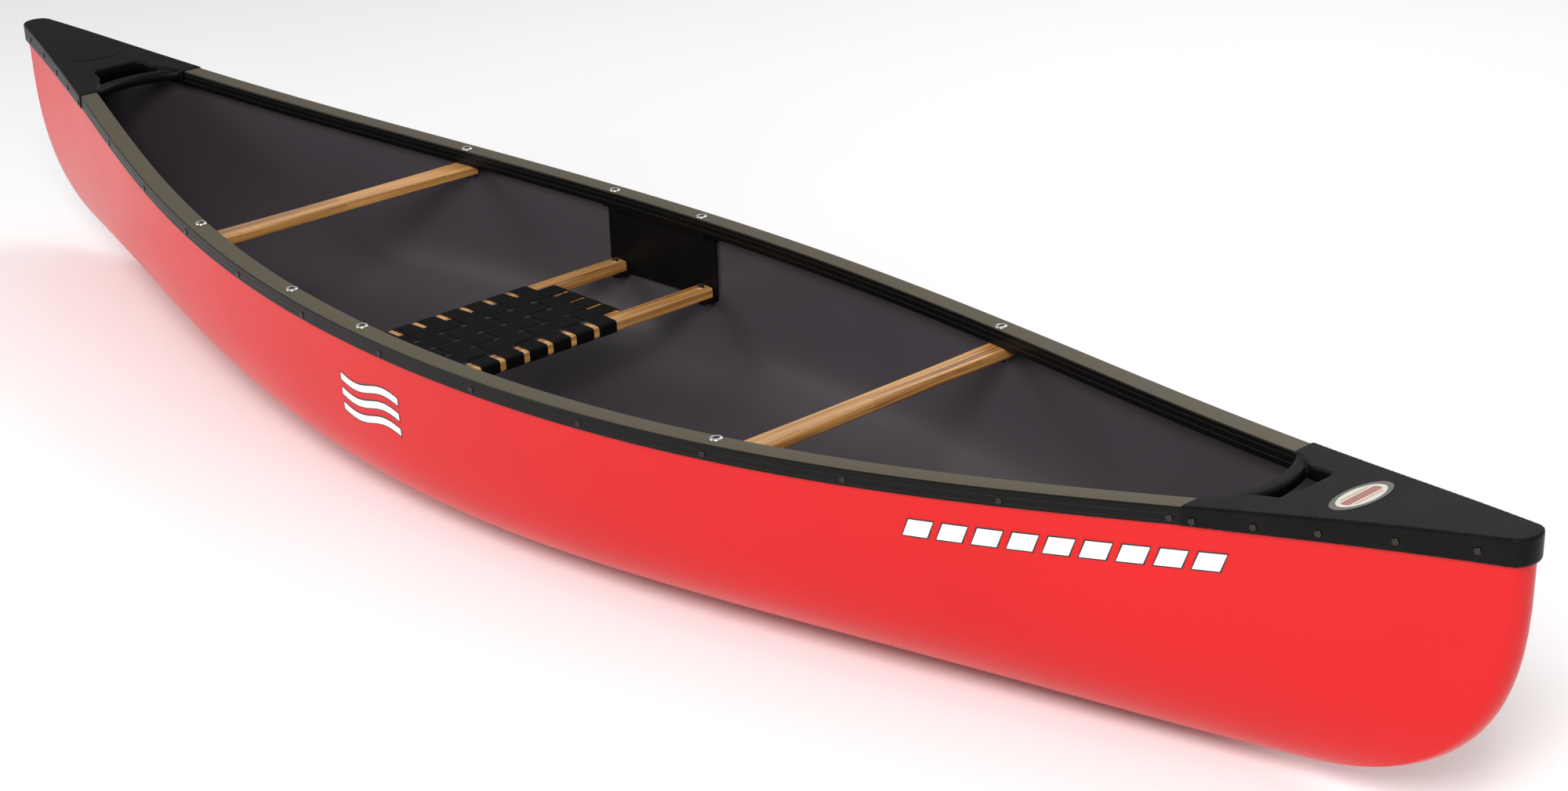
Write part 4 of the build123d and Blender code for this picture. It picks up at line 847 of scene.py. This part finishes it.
class CANOE_OT_stage(bpy.types.Operator):
    """Pale floor, soft light and the camera"""

    bl_idname = "canoe.stage"
    bl_label = "Stage"

    def execute(self, context):
        scene = context.scene
        look = scene.canoe_stage
        extent = 40.0
        corners = [Vector((x, y, 0)) for x, y in ((-1, -1), (1, -1), (1, 1), (-1, 1))]
        mesh = bpy.data.meshes.new("floor")
        mesh.from_pydata([c * extent for c in corners], [], [(0, 1, 2, 3)])
        floor = bpy.data.objects.new("floor", mesh)
        scene.collection.objects.link(floor)
        paper, tree, shader, place = new_material("painted_floor_white", 0.9)
        grain = add_node(tree, "ShaderNodeTexNoise", {"Scale": 1 / 0.5, "Detail": 2.0}, {"Vector": place})
        tone = add_node(tree, "ShaderNodeMix",
                        {"data_type": "RGBA", 6: linear("#FCFCFC"), 7: linear("#FFFFFF")},
                        {0: grain.outputs["Fac"]})
        tree.links.new(tone.outputs[2], shader.inputs["Base Color"])
        mesh.materials.append(paper)
        self.lamp("key", (3.2, -3.0, 3.4), (0.2, 0, 0.1), 1.8, 190)
        self.lamp("fill", (-2.6, -3.4, 1.6), (-0.9, 0, 0.1), 1.8, 60)
        self.lamp("back", (-0.6, 3.4, 3.4), (0, 0, 0.2), 2.4, 50)
        world = bpy.data.worlds.new("studio")
        world.use_nodes = True
        world.node_tree.nodes["Background"].inputs["Color"].default_value = linear("#FFFFFF")
        world.node_tree.nodes["Background"].inputs["Strength"].default_value = 0.55
        scene.world = world
        scene.view_settings.view_transform = "Standard"
        camera = bpy.data.objects.new("camera", bpy.data.cameras.new("camera"))
        camera.data.lens, camera.data.sensor_width = look.lens, 36.0
        camera.matrix_world = self.camera_place(look)
        scene.collection.objects.link(camera)
        scene.camera = camera
        return {"FINISHED"}

    @staticmethod
    def lamp(name, place, target, size, power):
        """Square soft box that faces a point of the boat."""
        data = bpy.data.lights.new(name, "AREA")
        data.size, data.energy = size, power
        lamp = bpy.data.objects.new(name, data)
        lamp.location = place
        lamp.rotation_euler = (Vector(target) - Vector(place)).to_track_quat("-Z", "Y").to_euler()
        bpy.context.scene.collection.objects.link(lamp)

    @staticmethod
    def camera_place(look):
        """Camera matrix from the view's azimuth, elevation and roll."""
        a, e = look.azimuth, look.elevation
        back = Vector((math.sin(a) * math.cos(e), -math.cos(a) * math.cos(e), math.sin(e)))
        right = Vector((math.cos(a), math.sin(a), 0))
        up = back.cross(right)
        c, s = math.cos(look.roll), math.sin(look.roll)
        turned_right, turned_up = c * right + s * up, c * up - s * right
        turn = Matrix((turned_right, turned_up, back)).transposed().to_4x4()
        return Matrix.Translation(look.place) @ turn


class CANOE_PT_panel(bpy.types.Panel):
    """Lists the pieces of the canoe"""

    bl_label = "Canoe"
    bl_idname = "CANOE_PT_panel"
    bl_space_type = "VIEW_3D"
    bl_region_type = "UI"
    bl_category = "Canoe"

    def draw(self, context):
        for operator in OPERATORS:
            self.layout.operator(operator.bl_idname)
        for group in SETTINGS:
            box = self.layout.box()
            for name in SETTINGS[group].__annotations__:
                box.prop(getattr(context.scene, group), name)


SETTINGS = {
    "canoe_hull": CanoeHullSettings,
    "canoe_trim": CanoeTrimSettings,
    "canoe_seat": CanoeSeatSettings,
    "canoe_fittings": CanoeFittingSettings,
    "canoe_stage": CanoeStageSettings,
}
OPERATORS = (CANOE_OT_hull, CANOE_OT_decals, CANOE_OT_gunwales, CANOE_OT_decks, CANOE_OT_woodwork,
             CANOE_OT_webbing, CANOE_OT_hangers, CANOE_OT_fittings, CANOE_OT_stage)


def register():
    for group, settings in SETTINGS.items():
        bpy.utils.register_class(settings)
        setattr(bpy.types.Scene, group, bpy.props.PointerProperty(type=settings))
    for operator in OPERATORS:
        bpy.utils.register_class(operator)
    bpy.utils.register_class(CANOE_PT_panel)


def unregister():
    bpy.utils.unregister_class(CANOE_PT_panel)
    for operator in reversed(OPERATORS):
        bpy.utils.unregister_class(operator)
    for group, settings in SETTINGS.items():
        delattr(bpy.types.Scene, group)
        bpy.utils.unregister_class(settings)


def main():
    register()
    bpy.ops.canoe.hull()
    bpy.ops.canoe.decals()
    bpy.ops.canoe.gunwales()
    bpy.ops.canoe.decks()
    bpy.ops.canoe.woodwork()
    bpy.ops.canoe.webbing()
    bpy.ops.canoe.hangers()
    bpy.ops.canoe.fittings()
    bpy.ops.canoe.stage()
    bpy.context.view_layer.update()


if __name__ == "__main__":
    main()
